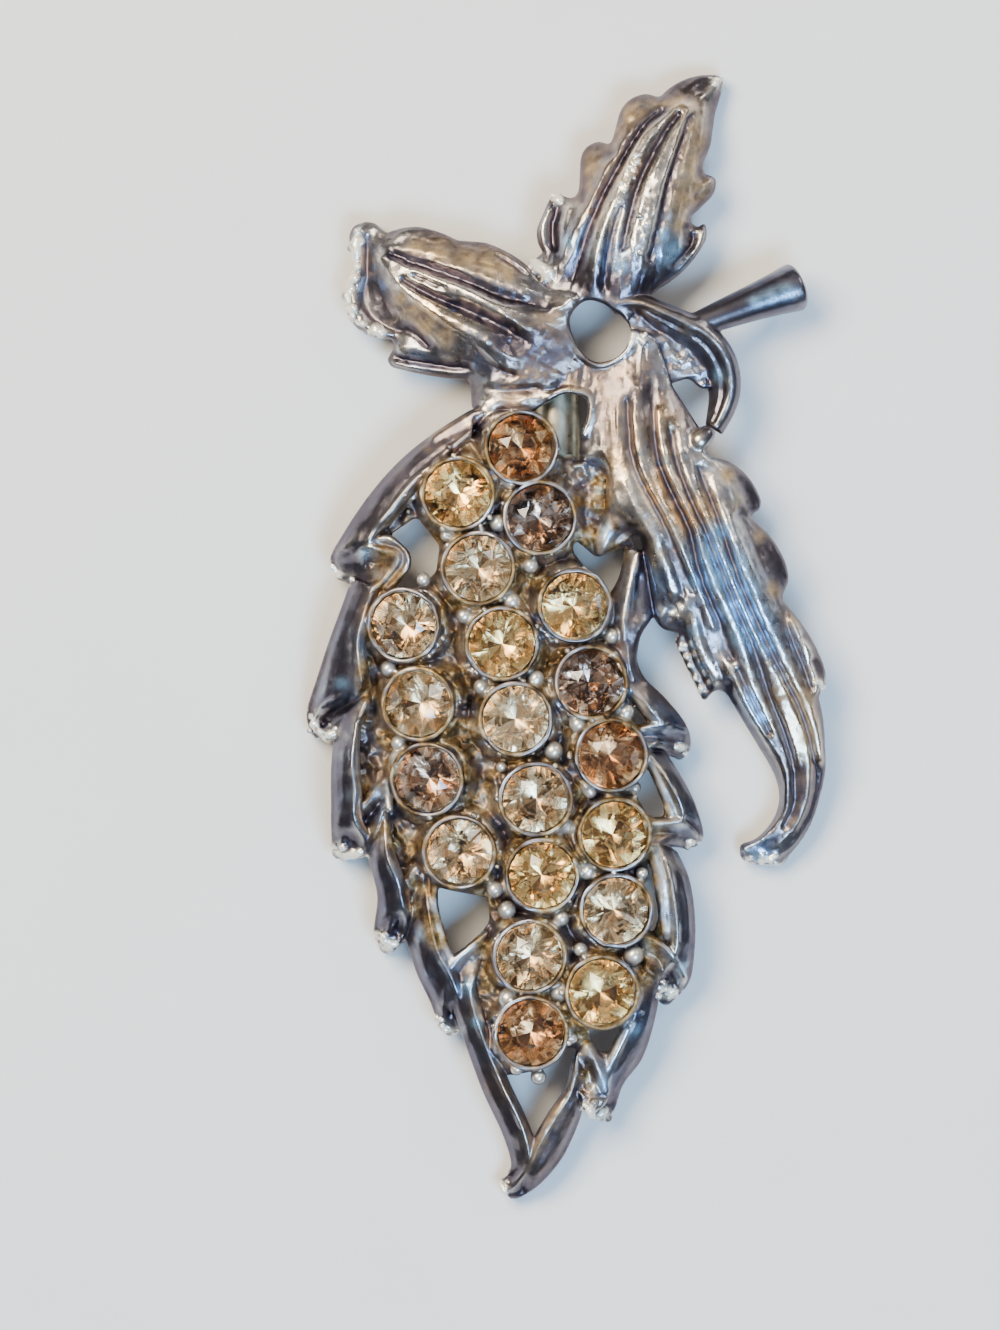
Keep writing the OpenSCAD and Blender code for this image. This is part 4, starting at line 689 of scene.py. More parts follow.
def hung_face(poly, curves):
    """Heights over an outline, hung between dense curves."""
    X, Y = plan(window(poly.min(0), poly.max(0)))
    return blur(hang(X.shape, np.array([X[0, 0], Y[0, 0]]), np.vstack(curves)), FACE_SOFT)


def rope(rows, radius=None, fillet=0.1, flat_end=None):
    """Adds a round bar along a curve. Rows: x, y, height of the middle, and a radius if none is given."""
    p = spline(rows, 0.12)
    r = np.full(len(p), radius) if radius else p[:, 3]
    win = window((p[:, :2] - r[:, None]).min(0), (p[:, :2] + r[:, None]).max(0), 0.4)
    X, Y, Z = cells(win)
    first = (X[0, 0, 0], Y[0, 0, 0], Z[0, 0, 0])
    best = np.full(X.shape, 9.0, np.float32)
    reach = 0.5
    for q, s in zip(p, r):
        box = tuple(slice(max(0, int((c - s - reach - f) / PITCH)), int((c + s + reach - f) / PITCH) + 2)
                    for c, f in zip(q, first))
        d = np.sqrt((X[box] - q[0]) ** 2 + (Y[box] - q[1]) ** 2 + (Z[box] - q[2]) ** 2) - s
        best[box] = np.minimum(best[box], d)
    if flat_end is not None:
        at, along = (np.array(value, float) for value in flat_end)
        along /= np.linalg.norm(along)
        plane = (X - at[0]) * along[0] + (Y - at[1]) * along[1] + (Z - at[2]) * along[2]
        best = round_max(best, plane - 0.05, 0.28)
    add(win, best, fillet)


def lump(x, y, z, r, squash=1.0, fillet=0.08):
    """Adds a small round lump."""
    win = window((x - r, y - r), (x + r, y + r), 0.4)
    X, Y, Z = cells(win)
    d = np.sqrt((X - x) ** 2 + (Y - y) ** 2 + ((Z - z) / squash) ** 2) - r
    add(win, d * min(1, squash), fillet)


def height(x, y):
    """Height of the sculpted face at a point."""
    return crown[int((x - LOW[0]) / PITCH + 0.5), int((y - LOW[1]) / PITCH + 0.5)]


def dome_z(x, y):
    """Height of the domed plate under the cups."""
    off = (x + DOME_SHIFT + DOME_LEAN * (y + DOME_MIDDLE)) / DOME_HALF
    fall = END_FALL * np.maximum(0, np.abs(y) - DOME_MIDDLE)
    return PLATE_Z - DOME_DROP * np.minimum(off * off, DOME_FLAT) - fall


# What a curve does to the skin: how far it is lifted, and how much of the rib's roundness it holds
LIFT = {"r": 0.06, "f": -0.05, "p": 0.0}
ROUNDNESS = {"rim": 0.0, "r": 1.0, "f": 0.0, "p": 0.5}
RIB_FAT = 0.6
STREAK_REACH = 9


def grain_along(shape, corner, ways):
    """Noise averaged along the curves. Ways: x, y, and the cos and sin of twice the curve's angle."""
    c = hang(shape, corner, ways[:, [0, 1, 2]])
    d = hang(shape, corner, ways[:, [0, 1, 3]])
    angle = 0.5 * np.arctan2(d, c)
    ux, uy = np.cos(angle), np.sin(angle)
    seed = rng.standard_normal(shape)
    total = seed.copy()

    def cell(x, y):
        return (np.clip(x.round().astype(int), 0, shape[0] - 1),
                np.clip(y.round().astype(int), 0, shape[1] - 1))

    for way in (-1, 1):
        x, y = np.meshgrid(np.arange(shape[0], dtype=float), np.arange(shape[1], dtype=float), indexing="ij")
        for _ in range(STREAK_REACH):
            at = cell(x, y)
            x, y = x + way * ux[at], y + way * uy[at]
            total += seed[cell(x, y)]
    total = blur(total, 0.06)
    return total / total.std()


def leaf(rows, curves, edge, streaks=0.016, fat=RIB_FAT, **options):
    """Adds a leaf: round ribs and sharp furrows between given curves, streaked along them."""
    poly = soften(outline(rows))
    guide = closed_run(edge, 0.1, 2)
    rim = closed_run(poly, 0.08, 1)
    near = ((rim[:, None, :] - guide[None, :, :2]) ** 2).sum(2).argmin(1)
    rim = np.column_stack([rim, guide[near, 2]])
    X, Y = plan(window(poly.min(0), poly.max(0)))
    corner = np.array([X[0, 0], Y[0, 0]])
    lines, ways = {"rim": [rim], "r": [], "f": [], "p": []}, []
    for kind, curve in curves:
        line = route(curve)
        line[:, 2] += LIFT[kind]
        lines[kind].append(line)
        run = np.gradient(line[:, :2], axis=0)
        angle = 2 * np.arctan2(run[:, 1], run[:, 0])
        ways.append(np.column_stack([line[:, :2], np.cos(angle), np.sin(angle)]))

    def solve(kinds, values=None):
        held = np.vstack([line for kind in kinds for line in lines[kind]])
        if values is not None:
            held = np.column_stack([held[:, :2], values])
        return hang(X.shape, corner, held)

    share = [np.full(len(line), ROUNDNESS[kind]) for kind in lines for line in lines[kind]]
    flat = solve(lines)
    relief = solve(("rim", "r", "p")) - solve(("rim", "f", "p"))
    t = np.clip(solve(lines, np.concatenate(share)), 0, 1)
    top = flat + np.clip(relief, 0, 1) * (np.sin(np.pi * t / 2) ** fat - t)
    top = blur(top, 0.08) + streaks * grain_along(X.shape, corner, np.vstack(ways))
    sheet(poly, top, **options)


def plate_face(poly):
    """Heights of the plate: metal run up round each cup, rough ground between them."""
    win = window(poly.min(0), poly.max(0))
    X, Y = plan(win)
    near = np.full(X.shape, 9.0)
    for x, y in STONES:
        near = np.minimum(near, np.hypot(X - x, Y - y))
    ground = np.clip((near - CUP_R - 0.05) / 0.55, 0, 1)
    run_up = 0.62 + 0.2 * coarse[win] + 0.1 * medium[win]
    return (dome_z(X, Y) + run_up * (1 - ground) ** 1.7 - 0.3 * ground ** 2
            + 0.06 * coarse[win] + 0.06 * medium[win] + 0.03 * fine[win])


def pattern(n, m):
    """Smooth seeded noise on the unit square, read by two positions."""
    table = rng.standard_normal((n + 3, m + 3))

    def read(u, v):
        x, y = np.clip(u, 0, 1) * n, np.clip(v, 0, 1) * m
        i, j = np.asarray(x).astype(int), np.asarray(y).astype(int)
        fx, fy = x - i, y - j
        fx, fy = fx * fx * (3 - 2 * fx), fy * fy * (3 - 2 * fy)
        return ((table[i, j] * (1 - fx) + table[i + 1, j] * fx) * (1 - fy)
                + (table[i, j + 1] * (1 - fx) + table[i + 1, j + 1] * fx) * fy)
    return read


def bell(x, middle, width):
    """Smooth bump of height one."""
    return np.exp(-((x - middle) / width) ** 2)


# Section of a tooth, from the ridge (0) to the outer edge (1): back of the ridge, where the face ends, step
TOOTH_BACK = 0.4
FACE_END = 0.9
SECTION_STEP = 0.02


def tooth(rows):
    """Adds a frame tooth: ridge, smooth outer face with a lip, and a scoop before its raised tip."""
    p = spline(rows, 0.05)
    outer, ridge, z = p[:, :2], p[:, 2:4], p[:, 4]
    run = outer - ridge
    size = np.linalg.norm(run, axis=1)
    walk = np.concatenate([[0], np.cumsum(np.linalg.norm(np.diff((outer + ridge) / 2, axis=0), axis=1))])
    left = walk[-1] - walk
    edge = np.maximum(EDGE_T, z - TOOTH_SLOPE * size)
    inner = ridge - run / size[:, None] * TOOTH_BACK
    wave, streak = pattern(12, 3), pattern(3, 14)
    u = walk / walk[-1]
    curves = []
    for d in np.arange(-TOOTH_BACK, 1.001, SECTION_STEP):
        if d < 0:
            at = ridge + run / size[:, None] * d
            lift = z - 0.3 * (d / TOOTH_BACK) ** 2
        else:
            at = ridge + run * d
            fall = 1 - np.sqrt(1 - (d / FACE_END) ** 2.2) if d < FACE_END else 1.0
            fall = 0.55 * fall + 0.45 * d
            scoop = 0.55 * bell(left, 1.15, 0.5) * math.sin(math.pi * (d * 0.85 + 0.08))
            tip = 0.22 * bell(left, 0.15, 0.25)
            lift = (z + (edge - z) * fall + 0.16 * math.exp(-(d / 0.12) ** 2)
                    + 0.14 * math.exp(-((d - 0.96) / 0.05) ** 2)
                    - scoop + tip + 0.035 * wave(u, d) + 0.02 * streak(u, d))
        curves.append(np.column_stack([at, np.maximum(lift, 0.5)]))
    poly = soften(np.vstack([outer[::8], inner[::-8]]), 0.12, 1)
    sheet(poly, hung_face(poly, curves), edge_r=0.14)


def join_edge(rows, curves):
    """Edge of a join, at heights that fall away from the nearest curve."""
    lines = np.vstack([route(curve) for _, curve in curves])
    rim = closed_run(rows, 0.1, 2)
    near = ((rim[:, None] - lines[None, :, :2]) ** 2).sum(2)
    pick = near.argmin(1)
    drop = 0.75 * np.sqrt(near[np.arange(len(rim)), pick])
    z = np.convolve(np.pad(lines[pick, 2] - drop, 5, mode="wrap"), np.ones(11) / 11, "valid")
    return np.column_stack([rim, np.maximum(z, 1.0)])


def strut(x1, y1, z1, x2, y2, z2):
    """Adds a thin bar that sags a little between its ends."""
    middle = ((x1 + x2) / 2, (y1 + y2) / 2, (z1 + z2) / 2 - 0.3)
    rope([(x1, y1, z1 - 0.2), middle, (x2, y2, z2 - 0.2)], 0.24, fillet=0.3)


def web(poly):
    """Adds the sheet between the leaves and the tendril."""
    win = window(poly.min(0), poly.max(0))
    X, _ = plan(win)
    sheet(poly, 4.0 - 0.15 * (X - 4) + 0.06 * coarse[win], thick=0.8, rough=0.04, cut=hole_polys[:1])


# Tendril: reach of its rounded outer side, and step of its section
TENDRIL_OUT = 0.62
TENDRIL_STEP = 0.04


def tendril():
    """Adds the curled tendril: a ridge with a round outer side and a broad, creased inner one."""
    p = spline(TENDRIL, 0.05)
    run = np.gradient(p[:, :2], axis=0)
    run /= np.linalg.norm(run, axis=1)[:, None]
    inward = np.column_stack([run[:, 1], -run[:, 0]])
    part = np.linspace(0, 1, len(p))
    wide = 0.45 + 1.05 * np.sin(np.pi * np.clip((part - 0.12) / 0.88, 0, 1)) ** 0.8
    curves = []
    for u in np.arange(-1, 1.001, TENDRIL_STEP):
        if u < 0:
            curves.append(np.column_stack([p[:, :2] + inward * TENDRIL_OUT * u, p[:, 2] - 0.5 * u * u]))
        else:
            dip = 0.16 * np.exp(-((u - 0.3) / 0.1) ** 2) - 0.1 * np.exp(-((u - 0.5) / 0.12) ** 2)
            curves.append(np.column_stack([p[:, :2] + inward * (wide * u)[:, None],
                                           p[:, 2] - (0.15 + 0.75 * wide) * u ** 1.3 - dip]))
    outer, inner = p[:, :2] - inward * TENDRIL_OUT, p[:, :2] + inward * wide[:, None]
    poly = np.vstack([outer[::8], inner[::-8]])[::-1]
    sheet(poly, hung_face(poly, curves), edge_r=0.25, thick=1.1, fillet=0.15)


CRUMB_SPREAD = 0.18


def crumbs(rows, count, r):
    """Adds rough little grains of metal along a route on the face."""
    p = route(rows, 0.1, 10)
    for _ in range(count):
        q = p[int(rng.uniform(0, len(p) - 0.01))][:2] + rng.standard_normal(2) * CRUMB_SPREAD
        size = r * rng.uniform(0.6, 1.3)
        h = height(*q)
        if h < 0:
            q = p[int(rng.uniform(0, len(p) - 0.01))][:2]
            h = height(*q)
        if h > 0:
            lump(q[0], q[1], h + 0.2 * size, size, 0.9, 0.06)


# Grit between the cups: tries, box in x and y, sizes, how near and how far from a stone's middle
GRIT_TRIES = 420
GRIT_X = (-9.5, 4.5)
GRIT_Y = (-22.5, 11.5)
GRIT_SIZE = (0.09, 0.2)
GRIT_NEAR = CUP_R + 0.12
GRIT_FAR = 3.2


def grit():
    """Adds the uneven crumbs of metal between the cups."""
    for _ in range(GRIT_TRIES):
        x, y = rng.uniform(*GRIT_X), rng.uniform(*GRIT_Y)
        near = min(math.hypot(x - a, y - b) for a, b in STONES)
        size = rng.uniform(*GRIT_SIZE)
        if GRIT_NEAR < near < GRIT_FAR and height(x, y) > 0:
            lump(x, y, height(x, y) + 0.1 * size, size, 0.8, 0.07)


BEAD_R = 0.46


def bead(x, y):
    """Adds a cast bead, never quite round nor quite in its place."""
    r = BEAD_R * (1 + 0.14 * rng.standard_normal())
    px, py = x + 0.04 * rng.standard_normal(), y + 0.04 * rng.standard_normal()
    lump(px, py, dome_z(x, y) + 0.34, r, 1.1, 0.12)
    crown[window((x - 0.3, y - 0.3), (x + 0.3, y + 0.3), 0)] = dome_z(x, y) + 0.75


# Crust on the rims of the cups: flakes on each, their sizes, how far below the rim they sit
FLAKES = 5
FLAKE_SIZE = (0.13, 0.2)
FLAKE_BELOW = (0.08, 0.25)
FLAKE_SEED = 5
flakes = np.random.default_rng(FLAKE_SEED)


def crust(x, y):
    """Adds flakes of crust to the rim of one cup."""
    for _ in range(FLAKES):
        a, size = flakes.uniform(0, 2 * math.pi), flakes.uniform(*FLAKE_SIZE)
        px, py = x + (CUP_R + 0.03) * math.cos(a), y + (CUP_R + 0.03) * math.sin(a)
        lump(px, py, dome_z(px, py) + CUP_H - flakes.uniform(*FLAKE_BELOW), size, 0.8, 0.05)


def well(x, y):
    """Cuts the round well that a cup sits in."""
    win = window((x - SEAT_R, y - SEAT_R), (x + SEAT_R, y + SEAT_R), 0.3)
    X, Y = plan(win)
    side = (np.hypot(X - x, Y - y) - SEAT_R)[..., None]
    field[win] = np.maximum(field[win], -np.maximum(side, dome_z(x, y) - SEAT_DEPTH - GZ[None, None, :]))


# The casting: leaves, plate, teeth, joins and struts, in the order in which they overlap
hole_polys = [soften(outline(h), 0.15) for h in HOLES]
for rows, curves, fat, rough in ((LEFT_LEAF, LEFT_CURVES, 0.8, 0.011), (TOP_LEAF, TOP_CURVES, 0.75, 0.011),
                                 (LONG_LEAF, LONG_CURVES, 0.85, 0.01)):
    leaf([row for row in rows if row[2] is not None], curves,
         [(x, y, z) for x, y, _, z in rows if z is not None], fat=fat, rough=rough, cut=hole_polys[:2])
plate_poly = soften(outline(PLATE))
sheet(plate_poly, plate_face(plate_poly), cut=hole_polys, rough=0.055)
for rows in LEFT_TEETH + RIGHT_TEETH:
    tooth(rows)
for rows, curves in JOINS:
    leaf(rows, curves, join_edge(rows, curves), streaks=0.02, fillet=0.15)
for ends in STRUTS:
    strut(*ends)

# Tendril, stem and the small forms beside them
web(soften(outline(WEB)))
tendril()
rope(STEM, fillet=0.2, flat_end=(STEM_CUT, np.subtract(STEM_END, STEM_ROOT)))
for x, y, z, r in KNOBS:
    lump(x, y, z, r, fillet=0.2)
rope(TOOTH_ROOT, fillet=0.4)
for x, y in FEET:
    lump(x, y, 0.45, 0.44, fillet=0.3)
for rows, r in RIMS:
    rope([(x, y, z - 0.1) for x, y, z in rows], r, fillet=0.22)
for rows, count, r in GRAINS:
    crumbs(rows, count, r)

# Grit, beads and crust round the cups, then the wells of the cups and the plane of the table
grit()
for x, y in BEADS:
    bead(x, y)
for x, y in STONES:
    crust(x, y)
for x, y in STONES:
    well(x, y)
field = np.maximum(field, (0.0 - GZ[None, None, :]).astype(np.float32))


# From the grid to a mesh
def sample(a, where):
    """Values of a grid at points, between its cells."""
    at = (where - LOW[:a.ndim]) / PITCH
    at = np.clip(at, 0, np.array(a.shape) - 1.001)
    base = at.astype(int)
    t = at - base
    out = 0
    for corner in np.ndindex(*(2,) * a.ndim):
        w = np.prod([t[:, k] if c else 1 - t[:, k] for k, c in enumerate(corner)], axis=0)
        out = out + w * a[tuple(base[:, k] + c for k, c in enumerate(corner))]
    return out


def linked(name, mesh):
    """Object of a mesh, in the scene."""
    piece = bpy.data.objects.new(name, mesh)
    bpy.context.scene.collection.objects.link(piece)
    return piece


def mesh_object(name, verts, faces, smooth=True):
    """Object from lists of points and faces."""
    mesh = bpy.data.meshes.new(name)
    mesh.from_pydata([tuple(point) for point in np.asarray(verts) * MM], [],
                     [tuple(int(i) for i in face) for face in faces])
    mesh.update()
    if smooth:
        mesh.shade_smooth()
    return linked(name, mesh)


def quads_object(name, verts, quads):
    """Object from arrays of points and four-sided faces."""
    mesh = bpy.data.meshes.new(name)
    mesh.vertices.add(len(verts))
    mesh.vertices.foreach_set("co", (verts * MM).astype(np.float32).ravel())
    mesh.loops.add(quads.size)
    mesh.loops.foreach_set("vertex_index", quads.astype(np.int32).ravel())
    mesh.polygons.add(len(quads))
    mesh.polygons.foreach_set("loop_start", np.arange(0, quads.size, 4, dtype=np.int32))
    mesh.update(calc_edges=True)
    mesh.validate()
    return linked(name, mesh)


def skin(name, distance, limit):
    """Closed mesh of a distance grid, thinned to a number of triangles."""
    grid = openvdb.FloatGrid(3 * PITCH)
    grid.copyFromArray(np.clip(distance, -3 * PITCH, 3 * PITCH).astype(np.float32))
    verts, quads = (np.asarray(part) for part in grid.convertToQuads(isovalue=0.0))
    piece = quads_object(name, verts.astype(float) * PITCH + LOW, quads)
    if 2 * len(quads) > limit:
        thin = piece.modifiers.new("thin", "DECIMATE")
        thin.ratio = limit / (2 * len(quads))
        graph = bpy.context.evaluated_depsgraph_get()
        mesh = bpy.data.meshes.new_from_object(piece.evaluated_get(graph))
        piece.modifiers.clear()
        piece.data = mesh
    piece.data.shade_smooth()
    return piece


def vertices(piece):
    """Points of a mesh in millimetres."""
    co = np.zeros(len(piece.data.vertices) * 3, np.float32)
    piece.data.vertices.foreach_get("co", co)
    return co.reshape(-1, 3).astype(float) / MM


def set_normals(piece, distance):
    """Vertex normals from the grid itself, so thinned faces don't show."""
    at = vertices(piece)
    normals = np.zeros_like(at)
    for a in range(3):
        step = np.zeros(3)
        step[a] = 0.6 * PITCH
        normals[:, a] = sample(distance, at + step) - sample(distance, at - step)
    normals /= np.maximum(np.linalg.norm(normals, axis=1, keepdims=True), 1e-9)
    piece.data.normals_split_custom_set_from_vertices([tuple(normal) for normal in normals])


body = skin("casting_body", field, TRIANGLES)
set_normals(body, field)


# Cups: section as radius and height, and how the rims waver
SEAT_Z = CUP_H - GIRDLE_BELOW_RIM - GIRDLE_H
BORE_R = STONE_D / 2 + 0.03
CUP_PROFILE = [
    (1.70, -0.88), (1.95, -0.76), (CUP_R - 0.12, -0.3), (CUP_R - 0.06, 0.4), (CUP_R - 0.02, 0.9),
    (CUP_R + 0.01, CUP_H - 0.22), (CUP_R, CUP_H - 0.10), (CUP_R - 0.04, CUP_H - 0.03), (CUP_R - 0.10, CUP_H),
    (CUP_R - 0.16, CUP_H - 0.01), (CUP_R - 0.205, CUP_H - 0.05), (BORE_R + 0.005, CUP_H - 0.14),
    (BORE_R, CUP_H - 0.3), (BORE_R, SEAT_Z), (BORE_R * 0.55, SEAT_Z - 0.55 * PAVILION_H),
    (0.1, SEAT_Z - PAVILION_H - 0.06)]
CUP_SIDES = 96
RIM_PART = 0.53
WAVES = 30


def on_dome(points, x, y):
    """Points in a cup's own frame, moved to the dome."""
    h = 0.5
    fx = (dome_z(x - h, y) - dome_z(x + h, y)) / (2 * h)
    fy = (dome_z(x, y - h) - dome_z(x, y + h)) / (2 * h)
    ax, ay = -math.atan(fy), math.atan(fx)
    rx = np.array([[1, 0, 0], [0, math.cos(ax), -math.sin(ax)], [0, math.sin(ax), math.cos(ax)]])
    ry = np.array([[math.cos(ay), 0, math.sin(ay)], [0, 1, 0], [-math.sin(ay), 0, math.cos(ay)]])
    return np.asarray(points) @ (ry @ rx).T + np.array([x, y, dome_z(x, y)])


def lathe(profile, sides, wobble):
    """Closed turned form from rows of radius and height, with a wavering rim."""
    verts, faces = [], []
    for i, (r, z) in enumerate(profile):
        for k in range(sides):
            a = 2 * math.pi * k / sides
            w = wobble(a, i / (len(profile) - 1))
            verts.append(((r + w[0]) * math.cos(a), (r + w[0]) * math.sin(a), z + w[1]))
    for i in range(len(profile) - 1):
        for k in range(sides):
            q = (k + 1) % sides
            faces.append((i * sides + k, i * sides + q, (i + 1) * sides + q, (i + 1) * sides + k))
    faces.append(tuple(range(sides))[::-1])
    faces.append(tuple((len(profile) - 1) * sides + k for k in range(sides)))
    return verts, faces


def rim_wobble():
    """How one worn rim strays, as a function of the angle and of the part of the section."""
    phase = rng.uniform(0, 6.28, WAVES)
    size = rng.uniform(0.3, 1.0, WAVES)

    def waves(a, numbers, less, back, power):
        return sum(size[k] * math.cos((k - less) * a + phase[k - back]) / (k - less) ** power
                   for k in numbers)

    def wobble(a, t):
        rim = math.exp(-((t - RIM_PART) / 0.16) ** 2)
        side = waves(a, range(14), -2, 0, 0.8) if t < RIM_PART else waves(a, range(12, 28), 9, 3, 0.7)
        rise = waves(a, range(15, 28), 13, 0, 0.8)
        return 0.06 * rim * side, 0.06 * rim * rise - 0.04 * rim
    return wobble


def make_cups():
    """All the cups as one piece."""
    verts, faces = [], []
    for x, y in STONES:
        turned, sides = lathe(CUP_PROFILE, CUP_SIDES, rim_wobble())
        base = len(verts)
        verts.extend(on_dome(turned, x, y))
        faces.extend(tuple(base + i for i in face) for face in sides)
    return mesh_object("cups", verts, faces)


cups = make_cups()


# Stones: cut shared by all, then the tones of the facets of mains, halves and tip, which paint bright glints
# and dark facets into the foil
STAR = 0.74
CUT_R = STONE_D / 2 - 0.02
PAVILION_SIDES = 12
GLINT_TONES = [0.05, 0.45, 0.8, 1.0]
GLINT_ODDS = {1: [0.05, 0.17, 0.33, 0.45], 2: [0.42, 0.30, 0.18, 0.10], 3: [0.22, 0.25, 0.25, 0.28]}
GLASS_TONE = 0.5


def ring(radius, z, count, shift, turn, shake=0.0):
    """Corners of a stone on one circle, each shaken a little."""
    out = []
    for k in range(count):
        a = 2 * math.pi * (k + shift) / count + turn
        q = radius * (1 + shake * rng.standard_normal())
        out.append((q * math.cos(a), q * math.sin(a), z + 2 * shake * rng.standard_normal()))
    return out


def cut_stone(turn, table, lower):
    """Faceted chaton. Kinds of its faces: 0 glass, then foil of 1 mains, 2 halves and 3 tip."""
    h, p, g = CROWN_H - 0.01, PAVILION_H - 0.02, GIRDLE_H
    r, sides = CUT_R, PAVILION_SIDES
    star_z = h * (r - r * STAR * math.cos(math.pi / 8)) / (r - r * table)
    low_z = -g - p * (1 - lower * math.cos(math.pi / sides))
    verts = ring(r * table, h, 8, 0, turn) + ring(r * STAR, star_z, 8, 0.5, turn, 0.004)
    verts += ring(r, 0.0, 16, 0, turn)
    faces, kinds = [tuple(range(8))], [0]
    for k in range(8):
        n, b = (k + 1) % 8, (k - 1) % 8
        faces += [(k, 8 + k, n), (k, 8 + b, 16 + 2 * k, 8 + k), (8 + k, 16 + 2 * k, 17 + 2 * k),
                  (8 + k, 17 + 2 * k, 16 + (2 * k + 2) % 16)]
        kinds += [0] * 4
    # the girdle steps from the crown's 16 corners to the pavilion's own, which are one more ring
    m = 2 * sides
    low = len(verts)
    verts += ring(r, -g, m, 0, turn) + ring(r * lower, low_z, sides, 0.5, turn, 0.012) + [(0, 0, -g - p)]
    i = j = 0
    while i < 16 or j < m:
        a, b = 16 + i % 16, low + j % m
        if j * 16 >= i * m and i < 16:
            faces.append((a, b, 16 + (i + 1) % 16))
            i += 1
        else:
            faces.append((a, b, low + (j + 1) % m))
            j += 1
        kinds.append(0)
    inner, tip = low + m, low + m + sides
    for k in range(sides):
        b = (k - 1) % sides
        main, half, end = low + 2 * k, low + 2 * k + 1, low + (2 * k + 2) % m
        faces += [(inner + k, half, main), (inner + k, end, half), (inner + b, inner + k, main),
                  (tip, inner + k, inner + b)]
        kinds += [2, 2, 1, 3]
    return np.array(verts), faces, kinds


def shade_facets(piece, kinds, y):
    """Facet attribute: tone, a painted glint or dark facet, gloss, and how far a facet lies towards the
    stone's lower side.
    """
    shade = piece.data.color_attributes.new("facet", "FLOAT_COLOR", "CORNER")
    for face, kind in zip(piece.data.polygons, kinds):
        tone = rng.choice(GLINT_TONES, p=GLINT_ODDS[kind]) if kind else GLASS_TONE
        gloss = rng.uniform(0, 1)
        low = 0.5 - (face.center[1] / MM - y) / STONE_D + 0.12 * rng.standard_normal()
        for corner in face.loop_indices:
            shade.data[corner].color = (tone, gloss, min(1.0, max(0.0, low)), 1.0)


def make_stone(name, x, y):
    """One stone in its cup, turned and leaning by chance."""
    turn = rng.uniform(0, math.pi / 4)
    verts, faces, kinds = cut_stone(turn, rng.uniform(0.46, 0.52), rng.uniform(0.38, 0.5))
    lean, way = math.radians(rng.uniform(0, 3.5)), rng.uniform(0, 2 * math.pi)
    verts[:, 2] += math.tan(lean) * (verts[:, 0] * math.cos(way) + verts[:, 1] * math.sin(way))
    verts = verts + np.array([0, 0, CUP_H - GIRDLE_BELOW_RIM])
    piece = mesh_object(name, on_dome(verts, x, y), faces, smooth=False)
    shade_facets(piece, kinds, y)
    return piece, kinds


stone_pieces = [make_stone("chaton_%02d" % (i + 1), x, y) for i, (x, y) in enumerate(STONES)]


# Materials
def material(name):
    """New material, its node tree and its shader."""
    mat = bpy.data.materials.new(name)
    mat.use_nodes = True
    return mat, mat.node_tree, mat.node_tree.nodes["Principled BSDF"]


def node(tree, kind, **values):
    """New node, with values for its sockets or settings."""
    n = tree.nodes.new(kind)
    for key, value in values.items():
        if key in n.inputs:
            n.inputs[key].default_value = value
        else:
            setattr(n, key, value)
    return n


def feed(tree, socket, value):
    """Puts a number, a colour or another node's output on a socket."""
    if isinstance(value, (int, float)):
        socket.default_value = value
    elif isinstance(value, tuple):
        socket.default_value = (*value, 1)
    else:
        tree.links.new(value, socket)


def noise(tree, scale, detail=4.0, rough=0.55):
    """Noise over the object's own coordinates, in waves per metre."""
    n = node(tree, "ShaderNodeTexNoise", Scale=scale, Detail=detail, Roughness=rough)
    where = node(tree, "ShaderNodeTexCoord")
    tree.links.new(where.outputs["Object"], n.inputs["Vector"])
    return n.outputs["Fac"]


def ramp(tree, source, stops):
    """Colour ramp with stops of place and colour."""
    n = tree.nodes.new("ShaderNodeValToRGB")
    while len(n.color_ramp.elements) < len(stops):
        n.color_ramp.elements.new(0.5)
    for element, (at, colour) in zip(n.color_ramp.elements, stops):
        element.position = at
        element.color = (*colour, 1)
    tree.links.new(source, n.inputs["Fac"])
    return n.outputs["Color"]


def mix(tree, share, a, b, kind="MIX"):
    """Colour a with its share of b."""
    n = node(tree, "ShaderNodeMix", data_type="RGBA", blend_type=kind)
    for socket, value in ((n.inputs[0], share), (n.inputs[6], a), (n.inputs[7], b)):
        feed(tree, socket, value)
    return n.outputs[2]


def grey(value):
    """Neutral colour."""
    return (value, value, value)


def greys(tree, source, start, low, end, high=1.0):
    """Ramp from one grey to another."""
    return ramp(tree, source, [(start, grey(low)), (end, grey(high))])


def maths(tree, operation, a, b):
    """Sum, difference or product of two values."""
    n = node(tree, "ShaderNodeMath", operation=operation)
    feed(tree, n.inputs[0], a)
    feed(tree, n.inputs[1], b)
    return n.outputs[0]


def attribute(tree, name):
    """The three channels of a colour attribute."""
    a = node(tree, "ShaderNodeAttribute", attribute_name=name)
    s = tree.nodes.new("ShaderNodeSeparateColor")
    tree.links.new(a.outputs["Color"], s.inputs["Color"])
    return s.outputs


def bump(tree, shader, source, strength):
    """Fine relief on a shader's normal."""
    b = node(tree, "ShaderNodeBump", Strength=strength, Distance=BUMP_HEIGHT)
    tree.links.new(source, b.inputs["Height"])
    tree.links.new(b.outputs["Normal"], shader.inputs["Normal"])


# Height of fine relief in metres
BUMP_HEIGHT = 0.00003

